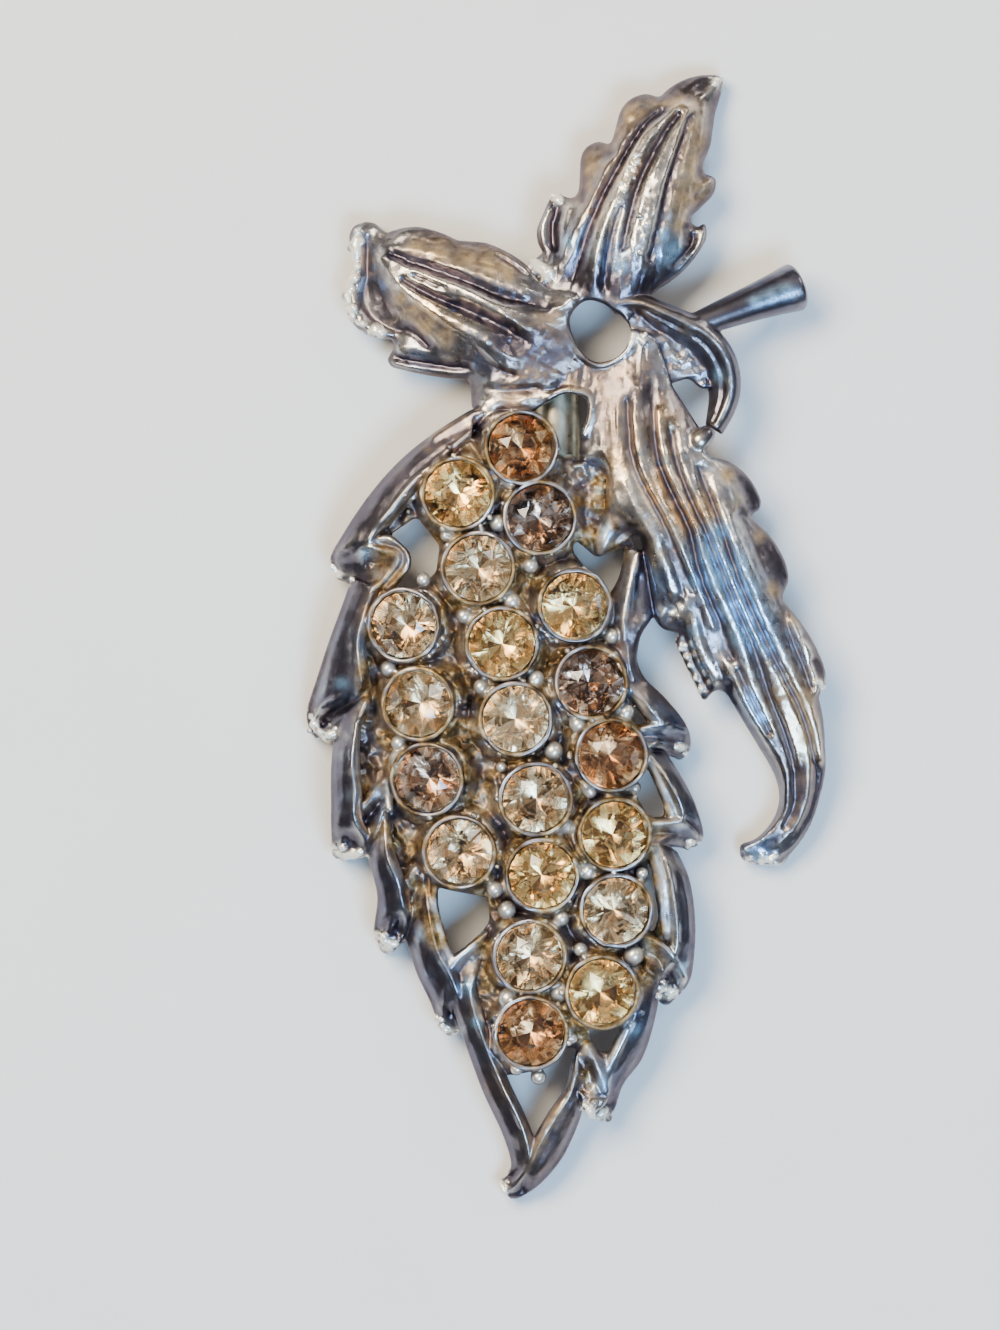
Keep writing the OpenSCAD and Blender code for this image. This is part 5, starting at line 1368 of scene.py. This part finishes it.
# Colours of the cast metal: stops over noise, then single tones
TARNISH = [(0.30, (0.21, 0.175, 0.17)), (0.45, (0.30, 0.28, 0.29)), (0.56, (0.41, 0.395, 0.42)),
           (0.68, (0.40, 0.34, 0.28))]
MATT_GOLD = [(0.34, (0.19, 0.115, 0.055)), (0.62, (0.52, 0.36, 0.18))]
BROWN_CRUST = [(0.32, (0.035, 0.022, 0.013)), (0.43, (0.11, 0.065, 0.03)), (0.54, (0.28, 0.18, 0.075)),
               (0.67, (0.58, 0.50, 0.35))]
# Cream of worn crests and of painted highlights
CREAM_WEAR_AND_HIGHLIGHT = (0.84, 0.77, 0.66)
# Golden tarnish, in places painted warm light
GOLD_TARNISH_AND_WARM_LIGHT = (1.15, 0.84, 0.50)
# Painted blue sheen of the cool light
PAINTED_BLUE_SHEEN_TINT = (0.60, 0.84, 1.26)
# Painted bright blue reflection
PAINTED_BLUE_REFLECTION_COLOUR = (0.42, 0.72, 1.0)
HOLLOW_DARK = (0.150, 0.118, 0.130)
# Dark of stains and of painted shade
STAIN_AND_SHADE_DARK = (0.105, 0.090, 0.115)
# Grains and bead tops worn bright, partly a painted highlight
BRIGHT_GRAIN_AND_HIGHLIGHT = (0.92, 0.87, 0.74)

# Masks broken up by noise: its scale, detail and roughness, then the ramp's start, its value, its end
BROKEN = {
    "cream_and_highlight": (1200, 5, 0.6, 0.3, 0.35, 0.6), "tint": (700, 5, 0.6, 0.35, 0.35, 0.6),
    "painted_blue_reflection": (1000, 5, 0.62, 0.32, 0.5, 0.52), "matt": (850, 5, 0.62, 0.34, 0.25, 0.56),
    "hollow": (1500, 4, 0.55, 0.25, 0.6, 0.6), "stain_and_shade": (1300, 4, 0.5, 0.30, 0.65, 0.52),
    "caked": (1100, 5, 0.6, 0.42, 0.15, 0.58)}


def broken(tree, mask, kind):
    """A mask broken up by noise."""
    scale, detail, rough, start, low, end = BROKEN[kind]
    return maths(tree, "MULTIPLY", mask, greys(tree, noise(tree, scale, detail, rough), start, low, end))


def cast_metal():
    """Tarnished white metal, with painted light and shade. It reads three attributes: wear holds hollows,
    brown deposit and bright grains, the grains worn and partly a painted highlight; tint holds golden
    tarnish with some painted warm light, painted blue sheen, and cream of worn crests and painted
    highlights; and the third holds dark stains with painted shade, painted blue reflections and matt gold."""
    mat, tree, shader = material("cast_metal")
    wear, tint, patina_shade_and_sheen = (attribute(tree, name) for name in ("wear", "tint", "patina_shade_and_sheen"))
    base = ramp(tree, noise(tree, 380, 6, 0.62), TARNISH)
    base = mix(tree, 1.0, base, greys(tree, noise(tree, 2600, 4, 0.6), 0.35, 0.78, 0.6), "MULTIPLY")
    # Cream: worn crests and painted highlights
    base = mix(tree, broken(tree, tint[2], "cream_and_highlight"), base, CREAM_WEAR_AND_HIGHLIGHT)
    # Gold: tarnish, in places painted warm light
    base = mix(tree, broken(tree, tint[0], "tint"), base, GOLD_TARNISH_AND_WARM_LIGHT, "MULTIPLY")
    # Blue: painted sheen of the cool light
    base = mix(tree, broken(tree, tint[1], "tint"), base, PAINTED_BLUE_SHEEN_TINT, "MULTIPLY")
    # Painted bright blue reflections
    painted_blue_reflection = broken(tree, patina_shade_and_sheen[1], "painted_blue_reflection")
    base = mix(tree, painted_blue_reflection, base, PAINTED_BLUE_REFLECTION_COLOUR)
    matt = broken(tree, patina_shade_and_sheen[2], "matt")
    base = mix(tree, matt, base, ramp(tree, noise(tree, 1600, 5, 0.65), MATT_GOLD))
    base = mix(tree, broken(tree, wear[0], "hollow"), base, HOLLOW_DARK)
    # Dark stains, and painted shade on shaded sides and tooth faces
    stain_and_shade = broken(tree, patina_shade_and_sheen[0], "stain_and_shade")
    base = mix(tree, stain_and_shade, base, STAIN_AND_SHADE_DARK)
    base = mix(tree, wear[1], base, ramp(tree, noise(tree, 900, 6, 0.65), BROWN_CRUST))
    # Bright grains and bead tops: worn metal and painted highlight
    base = mix(tree, wear[2], base, BRIGHT_GRAIN_AND_HIGHLIGHT)
    tree.links.new(base, shader.inputs["Base Color"])

    shader.inputs["Metallic"].default_value = 1.0
    plain = maths(tree, "MULTIPLY", wear[2], 0.6)
    for mask, share in ((matt, 0.35), (broken(tree, wear[1], "caked"), 0.45), (painted_blue_reflection, 0.08)):
        plain = maths(tree, "ADD", plain, maths(tree, "MULTIPLY", mask, share))
    tree.links.new(maths(tree, "SUBTRACT", 1.0, plain), shader.inputs["Metallic"])

    rough = greys(tree, noise(tree, 1900, 5), 0.3, 0.22, 0.7, 0.36)
    for mask, value in ((wear[0], 0.50), (wear[1], 0.52), (matt, 0.44), (stain_and_shade, 0.30), (wear[2], 0.30)):
        rough = mix(tree, mask, rough, grey(value))
    tree.links.new(rough, shader.inputs["Roughness"])

    pits = maths(tree, "ADD", maths(tree, "MULTIPLY", noise(tree, 7000, 3), 0.5), noise(tree, 2600, 4))
    bump(tree, shader, pits, 0.4)
    return mat


def glass(name, tint):
    """Tinted glass, hazy in places."""
    mat, tree, shader = material(name)
    shader.inputs["Base Color"].default_value = (*tint, 1)
    shader.inputs["Transmission Weight"].default_value = 1.0
    shader.inputs["IOR"].default_value = 1.62
    tree.links.new(greys(tree, noise(tree, 900, 5), 0.5, 0.0, 0.75, 0.07), shader.inputs["Roughness"])
    return mat


FOIL_SPOT = (0.07, 0.035, 0.015)
FOIL_BROWN = (0.80, 0.50, 0.24)


def foil(name, light, middle, dark, worn, browned):
    """Mirror foil behind the glass: each facet has its own tone, painted as a bright glint or a dark facet,
    and worn spots show brown.
    """
    mat, tree, shader = material(name)
    shader.inputs["Metallic"].default_value = 1.0
    facet = attribute(tree, "facet")
    tone = ramp(tree, facet[0], [(0.0, dark), (0.5, middle), (1.0, light)])
    stops = [(0.36 + 0.2 * worn, FOIL_SPOT), (0.44 + 0.3 * worn, grey(1))]
    spots = ramp(tree, noise(tree, 1100, 6, 0.7), stops)
    tone = mix(tree, greys(tree, facet[2], 0.45, 0.0, 0.75, browned), tone, FOIL_BROWN, "MULTIPLY")
    tree.links.new(mix(tree, 1.0, tone, spots, "MULTIPLY"), shader.inputs["Base Color"])
    low = 0.05 + 0.25 * worn
    tree.links.new(greys(tree, facet[1], 0.0, low, 1.0, low + 0.22), shader.inputs["Roughness"])
    return mat


def pin_metal():
    """Plated metal of the pin back."""
    mat, tree, shader = material("pin_metal")
    shader.inputs["Metallic"].default_value = 1.0
    plating = ramp(tree, noise(tree, 300, 5, 0.6), [(0.35, (0.17, 0.15, 0.10)), (0.6, (0.50, 0.46, 0.34))])
    tree.links.new(plating, shader.inputs["Base Color"])
    tree.links.new(greys(tree, noise(tree, 1500, 4), 0.3, 0.25, 0.7, 0.5), shader.inputs["Roughness"])
    bump(tree, shader, noise(tree, 4000, 3), 0.2)
    return mat


def floor_paint():
    """Pale matt paint of the floor."""
    mat, tree, shader = material("floor_paint")
    paint = ramp(tree, noise(tree, 60, 4), [(0.3, (0.74, 0.73, 0.71)), (0.7, (0.78, 0.77, 0.75))])
    tree.links.new(paint, shader.inputs["Base Color"])
    shader.inputs["Roughness"].default_value = 0.7
    return mat


metal = cast_metal()
body.data.materials.append(metal)
cups.data.materials.append(metal)

# Look of each stone: glass, light, middle and dark foil tones that paint the facets' glints, wear of the
# foil, browning of its lower side
KINDS = {
    "gold": ((1.0, 0.98, 0.92), (1.0, 0.89, 0.60), (0.92, 0.67, 0.36), (0.40, 0.25, 0.11), 0.0, 0.25),
    "champagne": ((1.0, 0.98, 0.94), (1.0, 0.94, 0.79), (0.86, 0.69, 0.47), (0.36, 0.25, 0.14), 0.0, 0.35),
    "peach": ((1.0, 0.96, 0.90), (0.86, 0.66, 0.45), (0.60, 0.39, 0.23), (0.30, 0.17, 0.09), 0.08, 0.4),
    "grey": ((0.98, 0.97, 0.96), (0.95, 0.91, 0.90), (0.54, 0.45, 0.39), (0.22, 0.15, 0.11), 0.16, 0.9),
    "rust": ((0.99, 0.95, 0.87), (0.98, 0.82, 0.62), (0.66, 0.38, 0.17), (0.28, 0.13, 0.05), 0.22, 0.5)}
LOOK = ["rust", "gold", "grey", "champagne", "gold", "champagne", "gold", "grey", "champagne", "champagne",
        "peach", "grey", "champagne", "champagne", "gold", "gold", "champagne", "champagne", "gold", "peach"]
made = {kind: (glass("glass_" + kind, tint), foil("foil_" + kind, *rest))
        for kind, (tint, *rest) in KINDS.items()}
for (o, kinds), look in zip(stone_pieces, LOOK):
    for mat in made[look]:
        o.data.materials.append(mat)
    o.data.polygons.foreach_set("material_index", np.minimum(kinds, 1))


# Where the metal is tarnished or worn, and where light and shade are painted on it. Round patches: x, y,
# radius
# Bare borders of the plate
CLEAN_ZONES = [
    (3.6, 3, 1.1), (3.4, 1, 1.2), (3.4, -1, 1.1), (3.6, -2.6, 1), (-5.6, 12.2, 1.4), (-8, 10.8, 1.4)]
# Golden tarnish, in places painted warm light
GOLD_TARNISH_AND_WARM_LIGHT_ZONES = [
    (-6.8, 21.4, 1.5), (-4.4, 21, 1.3), (-8, 18, 1.1), (-6.6, 17.2, 0.9), (3.6, 28.9, 1.3),
    (1.6, 26.6, 1.5), (1.2, 24.6, 1.2), (6.6, 30.2, 1.4), (7.2, 27.2, 1.3), (7, 24.6, 1.3),
    (3.2, 26.2, 1.2), (4.6, 18.5, 1), (2.6, 9.4, 1.2), (2.8, 12.4, 1.4), (5.2, 12, 1.6), (12.6, -4, 1.8),
    (13.2, -7, 1.6), (-6.4, 11, 2), (-1, -29.4, 1.6), (-0.4, -26.6, 1.2), (-4, -25, 1.4), (-2.6, 14.2, 1.2),
    (1.8, 14.6, 1.2), (-2.4, 16.4, 1.6), (-1.2, 17.4, 1.2), (-1.4, 14.8, 1.3), (0.2, 14.4, 1.2),
    (3.2, 14.2, 1.3), (12.6, -4.8, 0.9), (13.2, -6.2, 0.9), (13.4, -7.6, 0.9), (13.1, -9, 0.9),
    (5, 8.2, 1.2), (6.4, 6.6, 1.2), (7.6, 7.2, 1), (3.4, 12.2, 1.4), (3.2, 10.2, 1.2)]
# Painted blue sheen where the cool light falls
PAINTED_BLUE_SHEEN_ZONES = [
    (8.2, 4.4, 1.8), (9.6, 2, 2), (10.8, 0, 1.6), (7, 2.8, 1.2), (1.6, 9.4, 0.8), (5.8, 21.2, 1.3),
    (2.6, 20.8, 1.6), (0.4, 21.6, 1.2), (-11.4, -0.4, 2.2), (-12.6, -3, 1.6), (-12.4, -8, 2.4),
    (-9.8, -14, 2.2), (-7.6, -18.6, 2.2), (-5.6, -19, 1.6), (-5, -23, 1.4), (5.8, -4.8, 1.4),
    (6.8, -9.6, 1.6), (6.4, -16, 2.4), (4.2, -21.6, 1.8), (2.2, -24.6, 1.4), (10.8, -12, 1),
    (8.6, 14.8, 1.6), (11.6, 19.2, 1.8), (-8, 15.4, 1), (-4.6, 15, 1), (5, 3, 1.2), (4, 1.6, 1.2)]
# Cream patches of painted highlight
PAINTED_HIGHLIGHT_ZONES = [
    (12.2, -2.6, 0.6), (13.2, -3.6, 0.6), (13.7, -5, 0.55), (14, -6.2, 0.4), (4.8, 8, 1.2), (3.3, 8.8, 0.9),
    (5.2, 9.6, 0.8), (6.4, 8.4, 0.8), (4.9, 6.8, 0.7), (8.6, 9, 0.6), (7.4, 9.6, 0.6), (2.6, 9.6, 0.6),
    (2.7, 8.4, 0.6), (2.9, 7.4, 0.5), (5.6, 7.4, 0.7), (6.2, 6.2, 0.7), (7.4, 7.4, 0.7), (8.2, 6.6, 0.6),
    (14.1, -7.2, 0.4), (12.2, -3.9, 0.45), (12.5, -4.7, 0.45), (12.8, -5.5, 0.45), (13.1, -6.3, 0.45),
    (13.4, -7, 0.4)]
# Painted bright blue reflections
PAINTED_BLUE_REFLECTIONS = [
    (7.9, 4.6, 0.8), (8.4, 3.2, 0.8), (9.5, 4, 0.7), (10, 2.6, 0.8), (9.2, 1.6, 0.7), (10.6, 1.2, 0.7),
    (9.8, 0, 0.7), (11.2, -0.4, 0.6), (8.7, 5.8, 0.6), (7.1, 3, 0.4), (7.2, 0.3, 0.4), (7, -0.5, 0.3),
    (7.5, -1.7, 0.3), (10.3, -3.7, 0.5), (10.8, -4.6, 0.4), (6.7, -0.6, 0.3), (7.2, -1.9, 0.3),
    (1.6, 9.3, 0.5), (2.4, 5.8, 0.5), (5.9, 21.4, 0.8), (5.4, 22.4, 0.4), (0.2, 22, 0.4), (3, 20.6, 0.4),
    (10.6, 18.75, 0.4), (11.4, 19, 0.45), (12.3, 19.3, 0.5), (-11.3, 4.6, 0.4), (-12.6, -2.6, 0.4),
    (-8, -16.6, 0.5), (-5.6, -19.6, 0.5), (-5, -21.6, 0.4), (6.6, -18.6, 0.4), (2, -25, 0.4),
    (3.8, -22, 0.4), (10.9, -12.5, 0.5), (8.5, 14.6, 0.4), (3.2, -3.2, 0.4)]
# Matt golden patches
MATT = [
    (1, 26.2, 0.9), (0.9, 25, 0.8), (2.5, 28.2, 0.9), (3.6, 29.4, 0.9), (5.2, 30, 0.7), (7, 28.6, 0.7),
    (7.2, 27.2, 0.8), (6.9, 25.8, 0.8), (7.5, 25, 0.7), (6.6, 24.2, 0.7), (6.4, 23, 0.6), (-8.4, 21.6, 0.7),
    (-7, 21.4, 0.7), (-5.6, 21.2, 0.7), (-4.2, 20.9, 0.7), (-3.2, 20.3, 0.6), (-9.3, 19, 0.5),
    (-8.6, 18.1, 0.6), (-7.8, 17.3, 0.6), (-6.9, 16.6, 0.6), (-1.2, 17.6, 0.7), (-0.6, 16.2, 0.6),
    (9, 9, 0.6), (9.4, 7.6, 0.5), (10.9, 5.6, 0.5), (11.6, 2.6, 0.6), (12.6, 0.8, 0.5), (13.4, -3.6, 0.6),
    (13.5, -5.6, 0.5), (-7.6, 10.6, 0.8), (-6.2, 11.5, 0.7), (-9.2, 9, 0.7), (-0.6, -26.9, 0.7),
    (-1.4, -28.6, 0.7), (1, 14.4, 0.7), (2.2, 13.8, 0.8), (3.2, 12.8, 0.7), (2.6, 11.4, 0.7),
    (4.3, 14.8, 0.7), (-1.8, 14.6, 0.7), (-3, 13.4, 0.6), (3.6, 1, 0.6), (3.4, -1, 0.5), (4, -2.8, 0.6),
    (-1.6, 16.4, 0.8), (-1, 15.2, 0.7), (13.4, -8.2, 0.7), (13.2, -9.2, 0.7), (12.6, -10.2, 0.7)]

# Dark tarnish along furrows, and painted shade on the shaded sides of leaves, tendril, stem and tail: route
# in x and y, radius, strength
STAINS_AND_PAINTED_SHADE = [
    ([(-9.9, 21.35), (-8, 20.85), (-6, 20.15), (-4, 19.3), (-2, 18.6), (-1, 18.3)], 0.5, 1),
    ([(-8.2, 19.4), (-6.2, 18.45), (-4.2, 17.5), (-2.2, 16.5)], 0.36, 1),
    ([(-9, 17.4), (-8.3, 16.9), (-7.4, 15.9)], 0.4, 0.7),
    ([(-10.6, 20.4), (-10.4, 19), (-10, 18)], 0.6, 0.6),
    ([(-9.4, 15.5), (-7.4, 15.25), (-5.6, 15)], 0.3, 0.9),
    ([(-11.6, 22.9), (-11.75, 21.5), (-11.8, 20.2), (-12.1, 18.9), (-11.3, 17.3), (-10, 16.9)], 0.4, 0.8),
    ([(5.5, 29.5), (3.9, 28), (2.7, 25.9), (1.6, 23.8), (0.9, 21.8), (0.3, 19.9)], 0.32, 0.9),
    ([(6.3, 29.3), (4.85, 27), (3.85, 24.8), (3.3, 22.6)], 0.22, 0.7),
    ([(6.9, 29.2), (6.25, 27.2), (5.65, 25.2), (5.15, 23), (4.65, 21)], 0.26, 0.8),
    ([(5.4, 30.4), (6.8, 30.9), (8, 31.2)], 0.5, 0.7),
    ([(0.3, 20.6), (1.4, 19.9), (3.2, 19.6), (4.4, 20)], 1, 1),
    ([(-0.6, 24), (-0.8, 22.4), (-0.7, 21.4)], 0.45, 0.9),
    ([(7.1, 22.5), (6.5, 21.3), (5.6, 20.4)], 0.38, 0.8),
    ([(4.85, 13), (4.9, 11.8), (5.25, 9.5), (6.25, 7.3), (7.05, 5.3), (7.55, 3.2), (8.55, 0.8),
     (9.35, -1.3)], 0.24, 0.4),
    ([(6, 10.2), (6.75, 8), (7.7, 6), (8.5, 4), (9.35, 1.9), (10.3, -0.2), (11.1, -2.6), (12.15, -5.2),
     (12.8, -8), (12.2, -10.7)], 0.18, 0.35),
    ([(13.3, -7.4), (13.2, -8.6), (12.8, -9.8)], 0.5, 1),
    ([(4.95, 29.4), (3.5, 28.1), (2.3, 26.3), (1.3, 24.3), (0.5, 22.6), (-0.2, 21)], 0.3, 0.8),
    ([(11.6, -5.8), (12.2, -7.2), (12.4, -8.6), (12, -9.8)], 0.4, 0.9),
    ([(8.3, 17.85), (10.4, 18.7), (13.2, 19.8)], 1.5, 0.75),
    ([(9.8, -2.6), (10.7, -4.3), (11.5, -5.7)], 0.15, 0.4),
    ([(13.1, -8), (13.2, -8.8), (12.8, -9.8), (12, -10.9)], 1.1, 0.8),
    ([(1.2, 14.8), (2.4, 14), (3.6, 13.4), (4.4, 14.6)], 1, 0.7),
    ([(2.2, 12.6), (2.6, 11.2), (3.6, 12.2)], 0.8, 0.55),
    ([(-3.4, 16.6), (-2, 16.4), (-1, 15.8)], 1.4, 1),
    ([(-4.2, 14.8), (-2.2, 14.3), (-0.6, 14.4)], 0.8, 0.7),
    ([(2.6, 18.5), (5.3, 18.1), (7.6, 17.05), (8.95, 15.3), (9, 13.2), (8.15, 11.6)], 0.9, 0.75),
    ([(3.2, 13.4), (3.4, 11.6), (3.6, 10)], 1.4, 0.3),
    ([(3.9, 2.6), (3.8, 1), (3.7, -1)], 0.6, 0.7),
    ([(9.9, 8.8), (10.4, 7.8), (10.3, 7.2)], 0.5, 0.8),
    ([(11.2, 5), (12, 4), (12, 3.2)], 0.55, 0.8),
    ([(4.2, 5.4), (4.4, 3.5), (4.7, 1.5)], 0.5, 0.9),
    ([(6.9, -0.4), (7.4, -1.9), (7.8, -3.1)], 0.4, 0.6),
    ([(9, -2.8), (9.7, -4.3), (10.6, -6), (11.5, -7.8), (11.7, -9.6)], 0.45, 0.9),
    ([(11, -5.2), (11.7, -6.6), (12.15, -8), (12.1, -9.2)], 0.28, 0.7),
    ([(14.1, -7.2), (13.7, -9.2), (12.9, -10.9)], 0.45, 0.8),
    ([(4.6, 17.8), (6.4, 16.9), (7.6, 15.9), (8, 14.5), (8, 13)], 0.42, 0.8),
    ([(8.2, 18.3), (10.2, 19.3), (12.2, 20.3)], 0.42, 0.9),
    ([(8.8, 17.2), (10.8, 17.9), (13, 18.6)], 0.42, 0.9)]
# Painted shade on the outer faces of the teeth: teeth, radius, strength
PAINTED_SHADE_FACES = [(LEFT_TEETH[:5], 0.9, 0.95), (LEFT_TEETH[5:] + RIGHT_TEETH[4:], 0.85, 0.85),
         (RIGHT_TEETH[:4], 0.6, 0.75)]

points = vertices(body)
place = points[:, :2]


def patch(x, y, r, power=1.5):
    """How strongly a round patch covers each point of the casting."""
    return np.exp(-(((points[:, 0] - x) ** 2 + (points[:, 1] - y) ** 2) / r ** 2) ** power)


def beside(rows, reach):
    """Points of the casting near a route, and how far they are from it."""
    q = route(rows, 0.1, 10)[:, :2]
    box = ((place > q.min(0) - reach) & (place < q.max(0) + reach)).all(1)
    return box, np.sqrt(((points[box, None, :2] - q[None]) ** 2).sum(2).min(1))


def paint(piece, name, values):
    """Writes a colour attribute: red, green, blue and alpha of each point."""
    layer = piece.data.color_attributes.new(name, "FLOAT_COLOR", "POINT")
    layer.data.foreach_set("color", values.astype(np.float32).ravel())


def blank():
    """No colour at any point of the casting."""
    return np.column_stack([np.zeros((len(points), 3)), np.ones(len(points))]).astype(np.float32)


def sunken(sigma):
    """How far each point lies below the smoothed face around it."""
    mean = blur(face * known, sigma) / np.maximum(blur(known, sigma), 1e-3)
    return sample(mean, place) - points[:, 2]


# Hollows, brown deposit between the cups, and bright grains and bead tops, worn bright and partly a painted
# highlight
face = np.where(crown > -0.5, crown, 0.0)
known = (crown > -0.5).astype(float)
depth, depth_fine = sunken(0.5), sunken(0.22)
hollow = np.clip(0.25 + 1.6 * depth + 4.0 * depth_fine, 0, 1) ** 1.4
plate_depth = -poly_distance(plate_poly, *np.meshgrid(GX, GY, indexing="ij")) / 0.8
inside = sample(np.clip(plate_depth, 0, 1), place)
deposit = np.clip(inside * (0.75 + 0.4 * sample(medium, place)), 0, 1)
for x, y, r in CLEAN_ZONES:
    deposit *= 1 - patch(x, y, r, 2)
bright = np.zeros(len(points))
raised = points[:, 2] - sample(face, place)
for rows, _, _ in GRAINS:
    box, near = beside(rows, 0.8)
    shine = np.clip(1.6 - near / 0.32, 0, 1) * np.clip(0.1 + raised[box] / 0.1, 0, 1)
    bright[box] = np.maximum(bright[box], shine)
for x, y in BEADS:
    near = np.hypot(points[:, 0] - x, points[:, 1] - y)
    shine = np.clip(1.5 - near / 0.42, 0, 1) * np.clip((points[:, 2] - dome_z(x, y) - 0.3) / 0.3, 0, 1)
    deposit *= 1 - 0.85 * shine
    hollow = hollow * (1 - shine)
    bright = np.maximum(bright, 0.45 * shine)
paint(body, "wear", np.column_stack([hollow, deposit, bright, np.ones(len(points))]))

# Golden tarnish, in places painted warm light; painted blue sheen; cream of worn crests and painted
# highlight, but for the crests round the ring of the leaves
RING_MIDDLE = (1.9, 15.6)
RING_R = 4.2
tint = blank()
for channel, zones in ((0, GOLD_TARNISH_AND_WARM_LIGHT_ZONES), (1, PAINTED_BLUE_SHEEN_ZONES)):
    for x, y, r in zones:
        tint[:, channel] = np.maximum(tint[:, channel], patch(x, y, r))
ring_near = np.hypot(points[:, 0] - RING_MIDDLE[0], points[:, 1] - RING_MIDDLE[1])
crest = np.clip(-0.12 - 2.4 * depth - 9.0 * depth_fine, 0, 1)
tint[:, 2] = crest * (1 - deposit) * (1 - 0.75 * np.exp(-(ring_near / RING_R) ** 4))
tint[:, 2] *= sample(known, place)
for x, y, r in PAINTED_HIGHLIGHT_ZONES:
    tint[:, 2] = np.maximum(tint[:, 2], patch(x, y, r) * (1 - hollow))
paint(body, "tint", tint)

# Dark stains with painted shade, painted blue reflections and matt gold
patina_shade_and_sheen = blank()
painted_shade_teeth = [([((a + c) / 2, (b + d) / 2) for a, b, c, d, _ in rows], r, strength)
          for teeth, r, strength in PAINTED_SHADE_FACES for rows in teeth]
for rows, r, strength in STAINS_AND_PAINTED_SHADE + painted_shade_teeth:
    box, near = beside(rows, 2 * r)
    patina_shade_and_sheen[box, 0] = np.maximum(patina_shade_and_sheen[box, 0], strength * np.exp(-(near / r) ** 3))
for channel, zones in ((1, PAINTED_BLUE_REFLECTIONS), (2, MATT)):
    for x, y, r in zones:
        patina_shade_and_sheen[:, channel] = np.maximum(patina_shade_and_sheen[:, channel], patch(x, y, r))
patina_shade_and_sheen[:, 0] *= 1 - 0.7 * patina_shade_and_sheen[:, 1]
paint(body, "patina_shade_and_sheen", patina_shade_and_sheen)


def wear_cups():
    """Wear of the cups: dark below the rim, each with its own share of brown deposit."""
    at = vertices(cups)
    each = len(at) // len(STONES)
    above_rim = at[:, 2] - np.array([dome_z(x, y) for x, y in STONES]).repeat(each) - CUP_H
    own = rng.uniform(-0.35, 0.35, len(STONES)).repeat(each)
    crusty = np.clip(0.7 + own + 0.5 * sample(medium, at[:, :2]) + 0.6 * sample(coarse, at[:, :2]), 0, 1)
    dull = np.clip(0.42 + 0.3 * sample(medium, at[:, :2]), 0, 0.8)
    dark = np.maximum(dull, np.clip(-1.2 * above_rim - 0.2, 0, 0.9))
    paint(cups, "wear", np.column_stack([dark, crusty, np.zeros(len(at)), np.ones(len(at))]))


wear_cups()

# The pin back shows as the source's own node
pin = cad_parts["pin_back"]
pin.data.materials.clear()
pin.data.materials.append(pin_metal())

# What each piece rides on and replaces
for piece in (body, cups):
    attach(piece, "root")
    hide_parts("casting")
for i, (o, kinds) in enumerate(stone_pieces):
    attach(o, "root")
    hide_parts("stone_%02d" % (i + 1))

# Floor, just under the part. From here on, sizes and places are metres unless a name says MM
bpy.ops.mesh.primitive_plane_add(size=2.0, location=(0, 0, -0.0001))
floor = bpy.context.object
floor.name = "floor"
floor.data.materials.append(floor_paint())

# Softboxes: name, place, size, power in watts, colour
LIGHTS = [
    ("warm_box", (-0.17, 0.15, 0.33), (0.24, 0.18), 3.3, (1.0, 0.87, 0.66)),
    ("cool_box", (0.10, -0.155, 0.33), (0.17, 0.13), 2.1, (0.38, 0.65, 1.0)),
    ("fill_box", (0.26, 0.24, 0.24), (0.12, 0.10), 0.35, (1.0, 0.97, 0.93))]


def softbox(name, at, size, power, colour):
    """Rectangular light that faces the part."""
    light = bpy.data.lights.new(name, "AREA")
    light.shape = "RECTANGLE"
    light.size, light.size_y = size
    light.energy = power
    light.color = colour
    lamp = linked(name, light)
    lamp.location = at
    lamp.rotation_euler = (-Vector(at)).to_track_quat("-Z", "Y").to_euler()


for lamp in LIGHTS:
    softbox(*lamp)

# Studio dome: dim near the floor, brighter overhead
SKY = [(0.0, (0.04, 0.04, 0.045)), (0.3, (0.09, 0.092, 0.10)), (0.6, (0.25, 0.25, 0.27)),
       (1.0, (0.40, 0.395, 0.41))]


def studio_dome():
    """World that lights the part from all round."""
    world = bpy.data.worlds.new("studio")
    bpy.context.scene.world = world
    world.use_nodes = True
    tree = world.node_tree
    way = tree.nodes.new("ShaderNodeTexCoord")
    split = tree.nodes.new("ShaderNodeSeparateXYZ")
    tree.links.new(way.outputs["Generated"], split.inputs[0])
    tree.links.new(ramp(tree, split.outputs["Z"], SKY), tree.nodes["Background"].inputs[0])
    tree.nodes["Background"].inputs[1].default_value = 1.0


studio_dome()

# The photo: its size and the part's origin in pixels, and what a pixel shows in millimetres
PHOTO_W, PHOTO_H = 1000, 1330
ORIGIN_PX, ORIGIN_PY = 566.5, 636.5
PIXEL = 0.056
FRAME_MIDDLE = ((PHOTO_W / 2 - ORIGIN_PX) * PIXEL, (ORIGIN_PY - PHOTO_H / 2) * PIXEL)
# Camera straight above the middle of the photo: its height, and the height at which the frame fits
CAMERA_H = 500.0
FRAME_H = 3.0
SENSOR = 36.0


def photo_camera():
    """Camera that sees what the photo shows."""
    camera = bpy.data.cameras.new("camera")
    camera.sensor_width = SENSOR
    camera.lens = SENSOR * (CAMERA_H - FRAME_H) / (PHOTO_H * PIXEL)
    camera.clip_start, camera.clip_end = 0.01, 5.0
    view = linked("camera", camera)
    view.location = (FRAME_MIDDLE[0] * MM, FRAME_MIDDLE[1] * MM, CAMERA_H * MM)
    bpy.context.scene.camera = view


photo_camera()
